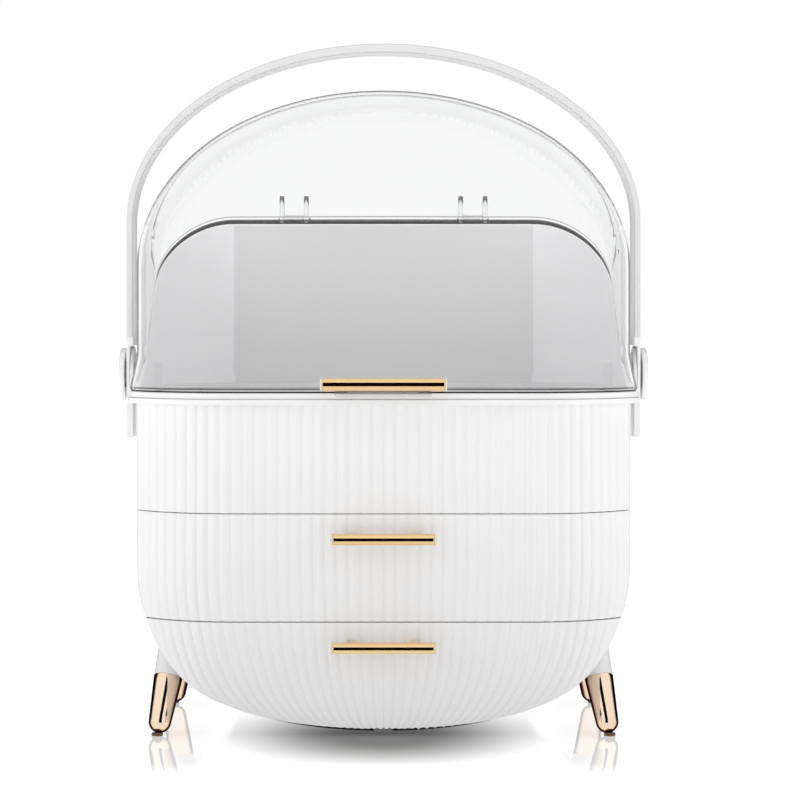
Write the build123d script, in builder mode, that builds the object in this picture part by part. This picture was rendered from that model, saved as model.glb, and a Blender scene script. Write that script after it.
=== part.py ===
"""Makeup organizer: reeded egg-shaped body, two drawers, clear hinged hood, carrying handle.

Millimetres, +Z up, front towards -Y. The origin is the centre of the overall footprint,
on the surface that the four legs stand on.
"""
from build123d import *
import os

os.makedirs("parts", exist_ok=True)

# ---------------------------------------------------------------- driving dimensions
# Body
half_width = 140.0          # side face of the body from the middle plane
body_depth = 182.0          # front face to back face
front_flat_half = 82.0      # half of the flat part of the front
corner_depth = 32.0         # how far back the rounded front corner ends, in a crease
rear_corner_radius = 48.0   # plan radius of the rear corners
belly_z = 4.0               # lowest point of the body over the floor
bowl_top_z = 98.0           # height where the sides start to curve in to the belly
bowl_fullness = 0.664       # how square the curve from side to belly is
toe_depth = 28.0            # how far the front and back curve under at the belly
toe_height = 56.0           # height where the front starts to curve under
rim_z = 187.4               # top of the body's walls
body_wall = 2.5             # walls of the body and its deck
deck_z = 127.0              # underside of the deck below the top compartment

# Reeds on the front
reed_count = 46
reed_depth = 0.9

# Drawers
drawer_seam_z = 66.6        # middle of the seam between the two drawers
seam = 0.8                  # gap between two fronts, and between front and body
front_wall = 3.4            # thickness of a drawer front
box_inset = 6.5             # outside of a drawer box from the outside of the body
box_wall = 2.0
box_headroom = 4.5          # free height over a drawer box
floor_running_gap = 2.0     # free height under the upper drawer box
box_back_gap = 8.0          # drawer box to the back wall
rail_height = 3.0
rail_drop = 11.0            # rail's top below the top of its drawer box
rail_end_gap = 5.0          # from a rail's ends to the front crease and the rear corner
lip_height = 2.0
lip_side_gap = 0.5          # between a drawer's lip and the body's wall
running_gap = 0.3           # between what slides and what carries it
shelf_thickness = 2.0
stop_rib_depth = 3.0        # thickness of a stop rib, front to back
stop_tab_width = 40.0
drawer_travel = 105.0
travel_spare = 4.0          # free way left between stop tab and rib at full travel
stop_rib_drop = 3.4         # how far a stop rib hangs below what it is on
stop_tab_gap = 0.8          # over a stop tab
boss_radius = 4.2           # bosses and pads that screws go through

# Rim
rim_overhang = 5.0
rim_flange_height = 3.1
rim_step_height = 3.2
rim_step_in = 0.8           # upper step of the rim, in from its flange
skirt_wall = 1.5
skirt_height = 7.0
fit_gap = 0.3               # between seated pieces that are not one moulding

# Hood and rear shell
hood_wall = 2.0
rear_wall = 2.4
arch_z = 263.4              # height where the hood's sides start to arch over
arch_rise = 99.6            # rise of the arch over that height
hood_front_round = 14.0     # rounding of the hood's front top edge, side view
hood_rear_round = 12.0
flare_top_z = 215.0         # the hood's sides start to flare out below this height
flare_out = 4.2             # how far the hood's lower edge stands out
parting_front_back = 30.0   # where the parting line leaves the rim, behind the front
parting_mid_back = 111.0
parting_mid_z = 237.0
hinge_z = 293.0             # top edge of the rear shell, and height of the hinge axis
parting_gap = 0.4
tab_half_width = 26.5
tab_reach = 8.0
tab_height = 3.0
tab_plate = 1.5            # thickness of the tab where it joins the hood
snap_lug = (5.4, 4.0, 13.6)  # size of a snap lug: across, deep, high
snap_lug_back = 128.0

# Hinge
hinge_offset = 4.6          # axis behind the back face
knuckle_radius = 4.2
hinge_pin_radius = 1.5
pin_play = 0.05
knuckle_centre_x = 55.0
knuckle_half = 5.8
ear_thickness = 3.0
ear_play = 0.2
ear_height = 16.0
web_reach = 0.8             # how far round its eye a web reaches, as a share of the radius
pin_head_radius = 2.25
pin_head_thickness = 0.8

# Handle
strap_side_gap = 0.6        # between the strap and the rim's edge
strap_thickness = 3.6
strap_width = 32.0
handle_arch_z = 290.5
handle_arch_rise = 103.7
handle_crown_thickness = 5.0
pivot_z = 202.0
lap_gap = 0.2
pivot_cap_radius = 15.5
pivot_cap_thickness = 3.6
pivot_cap_round = 2.5
pivot_hub_radius = 8.0
pivot_hub_height = 1.4
pivot_shaft_radius = 4.0
clip_radius = 6.5
clip_thickness = 0.7
bracket_bottom_z = 165.3
bracket_pad_half = 11.0

# Pulls
drawer_pull_length = 58.4
drawer_pull_height = 6.3
drawer_pull_drop = 12.5     # bar's middle below the top of its drawer front
hood_pull_length = 70.0
hood_pull_height = 7.2
hood_pull_z = 199.2
pull_depth = 6.4
pull_standoff = 9.6         # clear space behind a drawer's bar
pull_cap_thickness = 1.2
post_radius = 3.0
post_inset = 12.0           # post's axis from the end of its bar

# Fasteners
screw_radius = 1.5
screw_head_radius = 2.8
screw_head_height = 1.6
screw_bite = 3.0            # how deep a screw goes into what it holds

# Legs
leg_top_radius = 9.0
leg_joint_radius = 8.2
cap_tip_radius = 6.2
foot_x = 127.5
foot_inset = 24.0           # front and rear feet from the front and back faces
leg_root = 0.32             # where a leg meets the bowl, as a share of the curve down to the belly
leg_root_inset = 43.0
leg_reach_in = 9.0          # how far a leg's blank goes on inside before the bowl cuts it
spigot_radius = 5.0
spigot_length = 8.0
cap_tip_round = 3.0
cap_joint_z = 31.0
cap_tip_z = 3.4
pad_radius = 3.3
pad_height = 1.5

# ---------------------------------------------------------------- places worked out from them
pull_reach = flare_out + pull_standoff + pull_depth     # front face of a bar before the body
hinge_reach = hinge_offset + knuckle_radius             # back of the hinge behind the body
mid_y = (pull_reach - hinge_reach) / 2
front_y = mid_y - body_depth / 2
back_y = mid_y + body_depth / 2
crease_y = front_y + corner_depth
rim_top_z = rim_z + rim_flange_height + rim_step_height
hood_bottom_z = rim_top_z + fit_gap
hood_top_z = arch_z + arch_rise
lower_front_top_z = drawer_seam_z - seam / 2
upper_front_bottom_z = drawer_seam_z + seam / 2
upper_front_top_z = deck_z - seam
shelf_top_z = drawer_seam_z + shelf_thickness / 2
shelf_bottom_z = shelf_top_z - shelf_thickness
upper_box_bottom_z = shelf_top_z + floor_running_gap
upper_box_top_z = deck_z - box_headroom
lower_box_top_z = shelf_bottom_z - box_headroom
box_back_y = back_y - body_wall - box_back_gap
hinge_y = back_y + hinge_offset
strap_inner_x = half_width + rim_overhang + strap_side_gap
strap_outer_x = strap_inner_x + strap_thickness
rail_front_y = crease_y + rail_end_gap
rail_back_y = back_y - rear_corner_radius - rail_end_gap
stop_rib_back_y = box_back_y - box_wall - drawer_travel - travel_spare
far = 2 * body_depth        # past every face of the part


# ---------------------------------------------------------------- outlines
def draw_plan(z, inset=0.0):
    """Plan outline of the body at height z, moved inwards by inset."""
    with BuildSketch(Plane.XY.offset(z)) as plan:
        with BuildLine():
            Line((0, front_y), (front_flat_half, front_y))
            TangentArc((front_flat_half, front_y), (half_width, crease_y), tangent=(1, 0))
            Line((half_width, crease_y), (half_width, back_y - rear_corner_radius))
            TangentArc((half_width, back_y - rear_corner_radius),
                       (half_width - rear_corner_radius, back_y), tangent=(0, 1))
            Line((half_width - rear_corner_radius, back_y), (0, back_y))
            mirror(about=Plane.YZ)
        make_face()
        if inset:
            offset(amount=-inset, kind=Kind.INTERSECTION)
    return plan.sketch


def draw_reeded_front(z):
    """Area from the reeded front outline back to the middle plane, at height z."""
    with BuildLine(mode=Mode.PRIVATE) as front:
        Line((0, front_y + reed_depth), (front_flat_half, front_y + reed_depth))
        TangentArc((front_flat_half, front_y + reed_depth),
                   (half_width - reed_depth, crease_y), tangent=(1, 0))
    path = front.wires()[0]
    half_count = reed_count // 2
    with BuildSketch(Plane.XY.offset(z)) as area:
        with BuildLine():
            for i in range(half_count):
                start, end = path @ (i / half_count), path @ ((i + 1) / half_count)
                middle = (i + 0.5) / half_count
                outwards = (path % middle).rotate(Axis.Z, -90)
                ThreePointArc(start, path @ middle + outwards * reed_depth, end)
            Polyline(path @ 1, (half_width - reed_depth, mid_y), (0, mid_y))
            mirror(about=Plane.YZ)
        make_face()
    return area.sketch


def draw_front_view(inset=0.0):
    """Front view of the body: straight sides that curve in to the belly."""
    side, bottom = half_width - inset, belly_z + inset
    drop = bowl_top_z - bottom
    with BuildSketch(Plane.XZ) as view:
        with BuildLine():
            Line((0, rim_z), (side, rim_z))
            Line((side, rim_z), (side, bowl_top_z))
            Bezier((side, bowl_top_z), (side, bowl_top_z - bowl_fullness * drop),
                   (bowl_fullness * side, bottom), (0, bottom))
            mirror(about=Plane.YZ)
        make_face()
    return view.sketch


def draw_side_view(inset=0.0):
    """Side view of the body: upright front and back that curve under at the belly."""
    front, back, bottom = front_y + inset, back_y - inset, belly_z + inset
    toe_z = belly_z + toe_height
    with BuildSketch(Plane.YZ) as view:
        with BuildLine():
            Polyline((front, toe_z), (front, rim_z), (back, rim_z), (back, toe_z))
            EllipticalCenterArc((back_y - toe_depth, toe_z), toe_depth - inset,
                                toe_height - inset, start_angle=270, arc_size=90)
            Line((back_y - toe_depth, bottom), (front_y + toe_depth, bottom))
            EllipticalCenterArc((front_y + toe_depth, toe_z), toe_depth - inset,
                                toe_height - inset, start_angle=180, arc_size=90)
        make_face()
    return view.sketch


def draw_toe_corner():
    """Side view of what the curved-under front leaves off its lower corner."""
    toe_z, corner = belly_z + toe_height, (front_y - seam, belly_z - seam)
    with BuildSketch(Plane.YZ) as corner_view:
        with BuildLine():
            EllipticalCenterArc((front_y + toe_depth, toe_z), toe_depth, toe_height,
                                start_angle=180, arc_size=90)
            Polyline((front_y + toe_depth, belly_z), (front_y + toe_depth, corner[1]), corner,
                     (corner[0], toe_z), (front_y, toe_z))
        make_face()
    return corner_view.sketch


def body_form(inset):
    """Solid of the body's outer form, moved inwards by inset."""
    with BuildPart() as form:
        extrude(draw_plan(belly_z + inset, inset), amount=rim_z - belly_z - inset)
        extrude(draw_front_view(inset), amount=far, both=True, mode=Mode.INTERSECT)
        extrude(draw_side_view(inset), amount=far, both=True, mode=Mode.INTERSECT)
    return form.part


def hood_form(inset, bottom):
    """Solid inside the hood and rear shell, moved inwards by inset, down to height bottom."""
    side, rise = half_width - inset, arch_rise - inset
    front, back, top = front_y + inset, back_y - inset, hood_top_z - inset
    front_round, rear_round = hood_front_round - inset, hood_rear_round - inset
    with BuildPart() as form:
        extrude(draw_plan(bottom, inset), amount=hood_top_z - bottom)
        with BuildSketch(Plane.XZ):
            with BuildLine():
                Polyline((side, arch_z), (side, bottom), (-side, bottom), (-side, arch_z))
                EllipticalCenterArc((0, arch_z), side, rise, start_angle=0, arc_size=180)
            make_face()
        extrude(amount=far, both=True, mode=Mode.INTERSECT)
        with BuildSketch(Plane.YZ):
            with BuildLine():
                Polyline((front, top - front_round), (front, bottom), (back, bottom),
                         (back, top - rear_round))
                RadiusArc((back, top - rear_round), (back - rear_round, top), -rear_round)
                Line((back - rear_round, top), (front + front_round, top))
                RadiusArc((front + front_round, top), (front, top - front_round), -front_round)
            make_face()
        extrude(amount=far, both=True, mode=Mode.INTERSECT)
    return form.part


def below_parting(lift):
    """Everything below the parting line between rear shell and hood, raised by lift."""
    with BuildPart() as region:
        with BuildSketch(Plane.YZ):
            with BuildLine():
                start = (front_y + parting_front_back, rim_top_z + lift)
                top = (back_y, hinge_z + lift)
                ThreePointArc(start, (front_y + parting_mid_back, parting_mid_z + lift), top)
                Polyline(top, (back_y + far, hinge_z + lift), (back_y + far, belly_z),
                         (front_y - far, belly_z), (front_y - far, rim_top_z + lift), start)
            make_face()
        extrude(amount=far, both=True)
    return region.part


def slab(bottom, top, front=-far, back=far):
    """Everything between two heights, and between two planes across the depth."""
    with BuildPart() as region:
        with BuildSketch(Plane.XY.offset(bottom)):
            with Locations((0, (front + back) / 2)):
                Rectangle(2 * far, back - front)
        extrude(amount=top - bottom)
    return region.part


def save(piece, label):
    """Label a finished piece and write it."""
    piece.part.label = label
    export_step(piece.part, f"parts/{label}.step")


outside = body_form(0)
inside = body_form(body_wall)
box_outside = body_form(box_inset)
box_inside = body_form(box_inset + box_wall)


def shaft(radius, start, end):
    """Round bar between two points."""
    way = Vector(end) - Vector(start)
    with BuildPart() as bar:
        with BuildSketch(Plane(origin=start, z_dir=way)):
            Circle(radius)
        extrude(amount=way.length)
    return bar.part


def between(form, bottom, top, front=-far, back=far):
    """The part of a form between two heights, and between two planes across the depth."""
    with BuildPart() as piece:
        add(form)
        add(slab(bottom, top, front, back), mode=Mode.INTERSECT)
    return piece.part


def ring(outer_inset, inner_inset, bottom, top):
    """Ring between two plan outlines, from one height to another."""
    with BuildPart() as band:
        extrude(draw_plan(bottom, outer_inset), amount=top - bottom)
        extrude(draw_plan(bottom, inner_inset), amount=top - bottom, mode=Mode.SUBTRACT)
    return band.part


def screw(seat, way, length):
    """Screw with its head's underside at seat, pointing along way."""
    seat, way = Vector(seat), Vector(way).normalized()
    with BuildPart() as fastener:
        add(shaft(screw_radius, seat, seat + way * length))
        add(shaft(screw_head_radius, seat - way * screw_head_height, seat))
    return fastener.part


# ---------------------------------------------------------------- fastener places
drawer_post_x = drawer_pull_length / 2 - post_inset
hood_post_x = hood_pull_length / 2 - post_inset
screw_hole = screw_radius + pin_play


def front_face_y(inset, z):
    """Where the front face lies at height z, moved inwards by inset."""
    below_toe = max(0, belly_z + toe_height - z) / (toe_height - inset)
    return front_y + toe_depth - (toe_depth - inset) * (1 - below_toe ** 2) ** 0.5


# ---------------------------------------------------------------- body
def leg_line(side, end):
    """Foot, root and way in of one leg: side is -1 or 1 in X, end is -1 front or 1 back."""
    bottom, drop = belly_z, bowl_top_z - belly_z
    curve = Bezier((half_width, bowl_top_z), (half_width, bowl_top_z - bowl_fullness * drop),
                   (bowl_fullness * half_width, bottom), (0, bottom))
    point, slope = curve @ leg_root, curve % leg_root
    foot = Vector(side * foot_x, mid_y + end * (body_depth / 2 - foot_inset), 0)
    root = Vector(side * point.X, mid_y + end * (body_depth / 2 - leg_root_inset), point.Y)
    outwards = Vector(-side * slope.Y, 0, slope.X)
    return foot, root, outwards


legs = {f"{row}_{hand}": leg_line(side, end)
        for row, end in (("front", -1), ("rear", 1))
        for hand, side in (("left", -1), ("right", 1))}
bracket_screw_z = [bracket_bottom_z + 2 * screw_head_radius,
                   rim_z - skirt_height - screw_head_radius - fit_gap]

with BuildPart() as body_shell:
    add(between(outside, belly_z - 1, rim_z, front=crease_y))
    extrude(draw_reeded_front(deck_z), amount=rim_z - deck_z)
    add(between(inside, deck_z + body_wall, rim_z), mode=Mode.SUBTRACT)
    add(between(inside, belly_z, deck_z), mode=Mode.SUBTRACT)
    with Locations((0, stop_rib_back_y - stop_rib_depth / 2, deck_z - stop_rib_drop / 2)):
        Box(stop_tab_width, stop_rib_depth, stop_rib_drop)
    for hand in (-1, 1):
        for z in bracket_screw_z:
            add(shaft(screw_hole, (hand * (half_width - 2 * body_wall), mid_y, z),
                      (hand * (half_width + 1), mid_y, z)), mode=Mode.SUBTRACT)
    for foot, root, outwards in legs.values():
        seat = root - outwards * body_wall
        add(shaft(screw_hole, seat, root + outwards), mode=Mode.SUBTRACT)
        add(shaft(screw_head_radius + pin_play, seat - outwards * body_wall, seat),
            mode=Mode.SUBTRACT)
save(body_shell, "body_shell")

with BuildPart() as drawer_shelf:
    add(between(body_form(body_wall), shelf_bottom_z, shelf_top_z, front=crease_y))
    with Locations((0, stop_rib_back_y - stop_rib_depth / 2, shelf_bottom_z - stop_rib_drop / 2)):
        Box(stop_tab_width, stop_rib_depth, stop_rib_drop)
save(drawer_shelf, "drawer_shelf")

with BuildPart() as top_rim:
    step_z = rim_z + rim_flange_height
    add(ring(-rim_overhang, body_wall, rim_z, step_z))
    add(ring(rim_step_in - rim_overhang, body_wall, step_z, rim_top_z))
    skirt_inset = body_wall + fit_gap
    add(ring(skirt_inset, skirt_inset + skirt_wall, rim_z - skirt_height, rim_z))
    add(ring(body_wall, skirt_inset + skirt_wall, rim_z, step_z))
save(top_rim, "top_rim")


# ---------------------------------------------------------------- drawers
def make_front(label, bottom, top, pull_z, screw_rows):
    """Reeded front of one drawer, with bosses for its screws and flat pads for its pull."""
    with BuildPart() as front:
        extrude(draw_reeded_front(bottom), amount=top - bottom)
        add(slab(bottom, top, back=crease_y), mode=Mode.INTERSECT)
        if bottom < bowl_top_z:
            extrude(draw_front_view(), amount=far, both=True, mode=Mode.INTERSECT)
            extrude(draw_toe_corner(), amount=far, both=True, mode=Mode.SUBTRACT)
        add(between(body_form(front_wall), bottom - 1, top + 1), mode=Mode.SUBTRACT)
        for x, z in screw_rows:
            start = front_face_y(front_wall - reed_depth, z)
            add(between(shaft(boss_radius, (x, start, z), (x, crease_y, z)) - box_outside,
                        bottom, top))
            add(shaft(screw_hole, (x, start, z), (x, crease_y, z)), mode=Mode.SUBTRACT)
        for x in (-drawer_post_x, drawer_post_x):
            add(shaft(boss_radius, (x, front_y, pull_z), (x, crease_y, pull_z)) - box_outside)
            add(shaft(screw_hole, (x, front_y - 1, pull_z), (x, crease_y, pull_z)),
                mode=Mode.SUBTRACT)
    save(front, label)


def make_box(label, bottom, top, rail_top, pull_z, screw_rows):
    """Open drawer box with slide lips, a stop tab and holes for the screws of its front."""
    tab_top = top + box_headroom - stop_tab_gap
    with BuildPart() as box:
        add(between(box_outside, bottom, top, back=box_back_y))
        add(between(box_inside, bottom + box_wall, top + 1, back=box_back_y - box_wall),
            mode=Mode.SUBTRACT)
        lip = body_form(body_wall + lip_side_gap) - box_outside
        add(between(lip, rail_top + running_gap, rail_top + running_gap + lip_height,
                    rail_front_y, rail_back_y))
        with Locations((0, box_back_y - box_wall / 2, (top + tab_top) / 2)):
            Box(stop_tab_width, box_wall, tab_top - top)
        for x, z in screw_rows + [(-drawer_post_x, pull_z), (drawer_post_x, pull_z)]:
            seat = front_face_y(box_inset + box_wall, z)
            add(shaft(screw_hole, (x, front_y, z), (x, seat, z)), mode=Mode.SUBTRACT)
            add(shaft(screw_head_radius + pin_play, (x, seat, z), (x, seat + boss_radius, z)),
                mode=Mode.SUBTRACT)
    save(box, label)


def make_rails(label, rail_top):
    """Pair of rails on the body's side walls that one drawer's lips slide on."""
    with BuildPart() as rails:
        add(between(inside - body_form(box_inset - running_gap), rail_top - rail_height,
                    rail_top, rail_front_y, rail_back_y))
    save(rails, label)


def make_pull(label, length, height, face_y, z, seats):
    """Pull bar on two posts: bar, end caps, posts and the screws that hold it from behind."""
    bar_y = face_y - pull_standoff - pull_depth / 2
    post_x = length / 2 - post_inset
    edge_round = pull_depth / 3
    with BuildPart() as bar:
        with BuildSketch(Plane.YZ.offset(pull_cap_thickness - length / 2)):
            with Locations((bar_y, z)):
                RectangleRounded(pull_depth, height, edge_round)
        extrude(amount=length - 2 * pull_cap_thickness)
    save(bar, f"{label}_bar")
    with BuildPart() as caps:
        for start in (-length / 2, length / 2 - pull_cap_thickness):
            with BuildSketch(Plane.YZ.offset(start)):
                with Locations((bar_y, z)):
                    RectangleRounded(pull_depth, height, edge_round)
            extrude(amount=pull_cap_thickness)
    save(caps, f"{label}_end_caps")
    with BuildPart() as posts:
        for x in (-post_x, post_x):
            add(shaft(post_radius, (x, face_y, z), (x, face_y - pull_standoff, z)))
            add(shaft(screw_hole, (x, face_y, z), (x, face_y - screw_bite - fit_gap, z)),
                mode=Mode.SUBTRACT)
    save(posts, f"{label}_posts")
    with BuildPart() as screws:
        for x in (-post_x, post_x):
            add(screw((x, seats, z), (0, -1, 0), seats - face_y + screw_bite))
    save(screws, f"{label}_screws")


def make_drawer(name, front_bottom, front_top, box_bottom, box_top, rows):
    """One drawer with its front, box, pull, screws and rails."""
    across = front_flat_half - 2 * boss_radius
    screw_rows = [(x, z) for x in (-across, across) for z in rows]
    pull_z = front_top - drawer_pull_drop
    rail_top = box_top - rail_drop
    make_front(f"{name}_drawer_front", front_bottom, front_top, pull_z, screw_rows)
    make_box(f"{name}_drawer_box", box_bottom, box_top, rail_top, pull_z, screw_rows)
    make_rails(f"{name}_drawer_rails", rail_top)
    make_pull(f"{name}_pull", drawer_pull_length, drawer_pull_height, front_y, pull_z,
              front_face_y(box_inset + box_wall, pull_z))
    with BuildPart() as screws:
        for x, z in screw_rows:
            seat = front_face_y(box_inset + box_wall, z)
            bite_end = front_face_y(front_wall - reed_depth, z)
            add(screw((x, seat, z), (0, -1, 0), seat - bite_end))
    save(screws, f"{name}_front_screws")


make_drawer("upper", upper_front_bottom_z, upper_front_top_z, upper_box_bottom_z,
            upper_box_top_z, (upper_front_bottom_z + 3 * boss_radius,
                              upper_front_top_z - 3 * boss_radius))
make_drawer("lower", belly_z, lower_front_top_z, belly_z, lower_box_top_z,
            (lower_front_top_z - 3 * boss_radius,))


# ---------------------------------------------------------------- rear shell and hinge
def hinge_web(centre_x, half, way):
    """Round eye on the hinge axis with a web to the back wall: way is 1 up or -1 down."""
    with BuildPart() as eye:
        with BuildSketch(Plane.YZ.offset(centre_x - half)):
            with Locations((hinge_y, hinge_z)):
                Circle(knuckle_radius)
            with BuildLine():
                Polyline((back_y - hood_wall / 2, hinge_z + way * ear_height),
                         (back_y - hood_wall / 2, hinge_z + way * 2 * parting_gap),
                         (hinge_y, hinge_z),
                         (hinge_y + web_reach * knuckle_radius,
                          hinge_z + way * (1 - web_reach ** 2) ** 0.5 * knuckle_radius),
                         close=True)
            make_face()
        extrude(amount=2 * half)
    return eye.part


def hinge_bore(radius):
    """Bar along the hinge axis through both hinges."""
    reach = knuckle_centre_x + knuckle_half + 2 * ear_thickness
    return shaft(radius, (-reach, hinge_y, hinge_z), (reach, hinge_y, hinge_z))


knuckle_places = (-knuckle_centre_x, knuckle_centre_x)
ear_offset = knuckle_half + ear_play + ear_thickness / 2

with BuildPart() as rear_shell:
    add(hood_form(0, rim_top_z))
    add(hood_form(rear_wall, rim_top_z), mode=Mode.SUBTRACT)
    add(below_parting(0), mode=Mode.INTERSECT)
    lug_x = half_width - rear_wall - snap_lug[0] / 2
    for x in (-lug_x, lug_x):
        with Locations((x, front_y + snap_lug_back, rim_top_z + snap_lug[2] / 2 + fit_gap)):
            Box(*snap_lug)
    for x in knuckle_places:
        add(hinge_web(x, knuckle_half, -1))
    add(hinge_bore(hinge_pin_radius + pin_play), mode=Mode.SUBTRACT)
save(rear_shell, "rear_shell")

with BuildPart() as hinge_pins:
    pin_half = ear_offset + ear_thickness / 2
    for x in knuckle_places:
        add(shaft(hinge_pin_radius, (x - pin_half, hinge_y, hinge_z),
                  (x + pin_half, hinge_y, hinge_z)))
        for way in (-1, 1):
            head = x + way * (pin_half + pin_play)
            add(shaft(pin_head_radius, (head, hinge_y, hinge_z),
                      (head + way * pin_head_thickness, hinge_y, hinge_z)))
save(hinge_pins, "hinge_pins")


# ---------------------------------------------------------------- hood
def flare(outer_inset):
    """Solid that widens downwards from the hood's sides to its lower edge."""
    with BuildPart() as skirt:
        loft([draw_plan(hood_bottom_z, outer_inset - flare_out),
              draw_plan(flare_top_z, outer_inset)], ruled=True)
    return skirt.part


hood_face_y = front_y - flare_out
with BuildPart() as hood:
    add(hood_form(0, flare_top_z))
    add(flare(0))
    add(hood_form(hood_wall, flare_top_z), mode=Mode.SUBTRACT)
    add(flare(hood_wall), mode=Mode.SUBTRACT)
    add(below_parting(parting_gap), mode=Mode.SUBTRACT)
    for x in (-hood_post_x, hood_post_x):
        add(shaft(boss_radius, (x, hood_face_y, hood_pull_z),
                  (x, hood_face_y + hood_wall * 2, hood_pull_z)))
        add(shaft(screw_hole, (x, hood_face_y, hood_pull_z),
                  (x, hood_face_y + hood_wall * 2, hood_pull_z)), mode=Mode.SUBTRACT)
    tab_front_y = hood_face_y - tab_reach
    lip_back_y = front_y - rim_overhang - fit_gap
    tab_back_y = front_y - flare_out / 2
    with Locations((0, (tab_front_y + tab_back_y) / 2, hood_bottom_z + tab_plate / 2)):
        Box(2 * tab_half_width, tab_back_y - tab_front_y, tab_plate)
    with Locations((0, (tab_front_y + lip_back_y) / 2,
                    hood_bottom_z + tab_plate - tab_height / 2)):
        Box(2 * tab_half_width, lip_back_y - tab_front_y, tab_height)
    for x in knuckle_places:
        for way in (-1, 1):
            add(hinge_web(x + way * ear_offset, ear_thickness / 2, 1))
    add(hinge_bore(hinge_pin_radius + pin_play), mode=Mode.SUBTRACT)
save(hood, "hood")
make_pull("hood_pull", hood_pull_length, hood_pull_height, hood_face_y, hood_pull_z,
          hood_face_y + hood_wall * 2)


# ---------------------------------------------------------------- handle
lap_thickness = (strap_thickness - lap_gap) / 2
lap_radius = strap_width / 2 + 2 * lap_gap
shaft_end_x = strap_inner_x - lap_gap - clip_thickness


def strap_side_view(top):
    """Strap seen from the side: round at the pivot, straight up or down to top."""
    with BuildSketch(Plane.YZ) as view:
        with Locations((mid_y, pivot_z)):
            Circle(strap_width / 2)
        with Locations((mid_y, (pivot_z + top) / 2)):
            Rectangle(strap_width, abs(top - pivot_z))
    return view.sketch


with BuildPart() as handle:
    with BuildSketch(Plane.XZ):
        foot_z = pivot_z - strap_width
        with BuildLine():
            EllipticalCenterArc((0, handle_arch_z), strap_outer_x, handle_arch_rise,
                                start_angle=0, arc_size=180)
            Line((-strap_outer_x, handle_arch_z), (-strap_outer_x, foot_z))
            Line((-strap_outer_x, foot_z), (-strap_inner_x, foot_z))
            Line((-strap_inner_x, foot_z), (-strap_inner_x, handle_arch_z))
            EllipticalCenterArc((0, handle_arch_z), strap_inner_x,
                                handle_arch_rise - handle_crown_thickness,
                                start_angle=0, arc_size=180)
            Line((strap_inner_x, handle_arch_z), (strap_inner_x, foot_z))
            Line((strap_inner_x, foot_z), (strap_outer_x, foot_z))
            Line((strap_outer_x, foot_z), (strap_outer_x, handle_arch_z))
        make_face()
    extrude(amount=far, both=True)
    extrude(strap_side_view(pivot_z + far), amount=far, both=True, mode=Mode.INTERSECT)
    for way in (-1, 1):
        lap_x = way * (strap_inner_x + lap_thickness + lap_gap) / 2
        with Locations((lap_x, mid_y, pivot_z)):
            Box(strap_inner_x + lap_thickness + lap_gap, 2 * lap_radius, 2 * lap_radius,
                mode=Mode.SUBTRACT)
        add(shaft(pivot_shaft_radius + pin_play, (way * strap_inner_x, mid_y, pivot_z),
                  (way * (strap_outer_x + 1), mid_y, pivot_z)), mode=Mode.SUBTRACT)
save(handle, "handle")

for hand, name in ((-1, "left"), (1, "right")):
    with BuildPart() as bracket:
        extrude(strap_side_view(bracket_bottom_z), amount=far, both=True)
        bracket_x = hand * (strap_inner_x + strap_thickness / 2)
        with Locations((bracket_x, mid_y, pivot_z)):
            Box(strap_thickness, far, far, mode=Mode.INTERSECT)
        with Locations((hand * (strap_inner_x + lap_thickness + strap_thickness / 2),
                        mid_y, pivot_z)):
            Box(strap_thickness, 2 * lap_radius, 2 * lap_radius, mode=Mode.SUBTRACT)
        pad_top = rim_z - fit_gap
        pad_bottom = bracket_bottom_z + fit_gap
        with Locations((hand * (half_width + strap_inner_x) / 2, mid_y,
                        (pad_top + pad_bottom) / 2)):
            Box(strap_inner_x - half_width, 2 * bracket_pad_half, pad_top - pad_bottom)
        add(shaft(pivot_shaft_radius + pin_play, (0, mid_y, pivot_z),
                  (hand * far, mid_y, pivot_z)), mode=Mode.SUBTRACT)
        for z in bracket_screw_z:
            add(shaft(screw_hole, (0, mid_y, z),
                      (hand * (strap_inner_x + screw_radius), mid_y, z)), mode=Mode.SUBTRACT)
    save(bracket, f"side_bracket_{name}")

    with BuildPart() as cap:
        hub_x = strap_outer_x + pivot_hub_height
        add(shaft(pivot_cap_radius, (hand * hub_x, mid_y, pivot_z),
                  (hand * (hub_x + pivot_cap_thickness), mid_y, pivot_z)))
        rim_edges = cap.edges().filter_by(GeomType.CIRCLE).sort_by(Axis.X)
        outer_edge = rim_edges[-1] if hand > 0 else rim_edges[0]
        fillet(outer_edge, pivot_cap_round)
        add(shaft(pivot_hub_radius, (hand * strap_outer_x, mid_y, pivot_z),
                  (hand * hub_x, mid_y, pivot_z)))
        add(shaft(pivot_shaft_radius, (hand * shaft_end_x, mid_y, pivot_z),
                  (hand * strap_outer_x, mid_y, pivot_z)))
    save(cap, f"pivot_cap_{name}")

with BuildPart() as pivot_clips:
    for hand in (-1, 1):
        start = (hand * shaft_end_x, mid_y, pivot_z)
        end = (hand * (shaft_end_x + clip_thickness), mid_y, pivot_z)
        add(shaft(clip_radius, start, end) - shaft(pivot_shaft_radius, start, end))
save(pivot_clips, "pivot_clips")

with BuildPart() as bracket_screws:
    for hand in (-1, 1):
        for z in bracket_screw_z:
            add(screw((hand * (half_width - body_wall), mid_y, z), (hand, 0, 0),
                      body_wall + strap_inner_x - half_width))
save(bracket_screws, "bracket_screws")


# ---------------------------------------------------------------- legs
def cone(radius_1, radius_2, start, end):
    """Tapered round bar between two points."""
    way = Vector(end) - Vector(start)
    with BuildPart() as bar:
        with BuildSketch(Plane(origin=start, z_dir=way)):
            Circle(radius_1)
        with BuildSketch(Plane(origin=end, z_dir=way)):
            Circle(radius_2)
        loft()
    return bar.part


def on_axis(foot, root, z):
    """Point of a leg's axis at height z."""
    return foot + (root - foot) * (z / root.Z)


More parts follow.
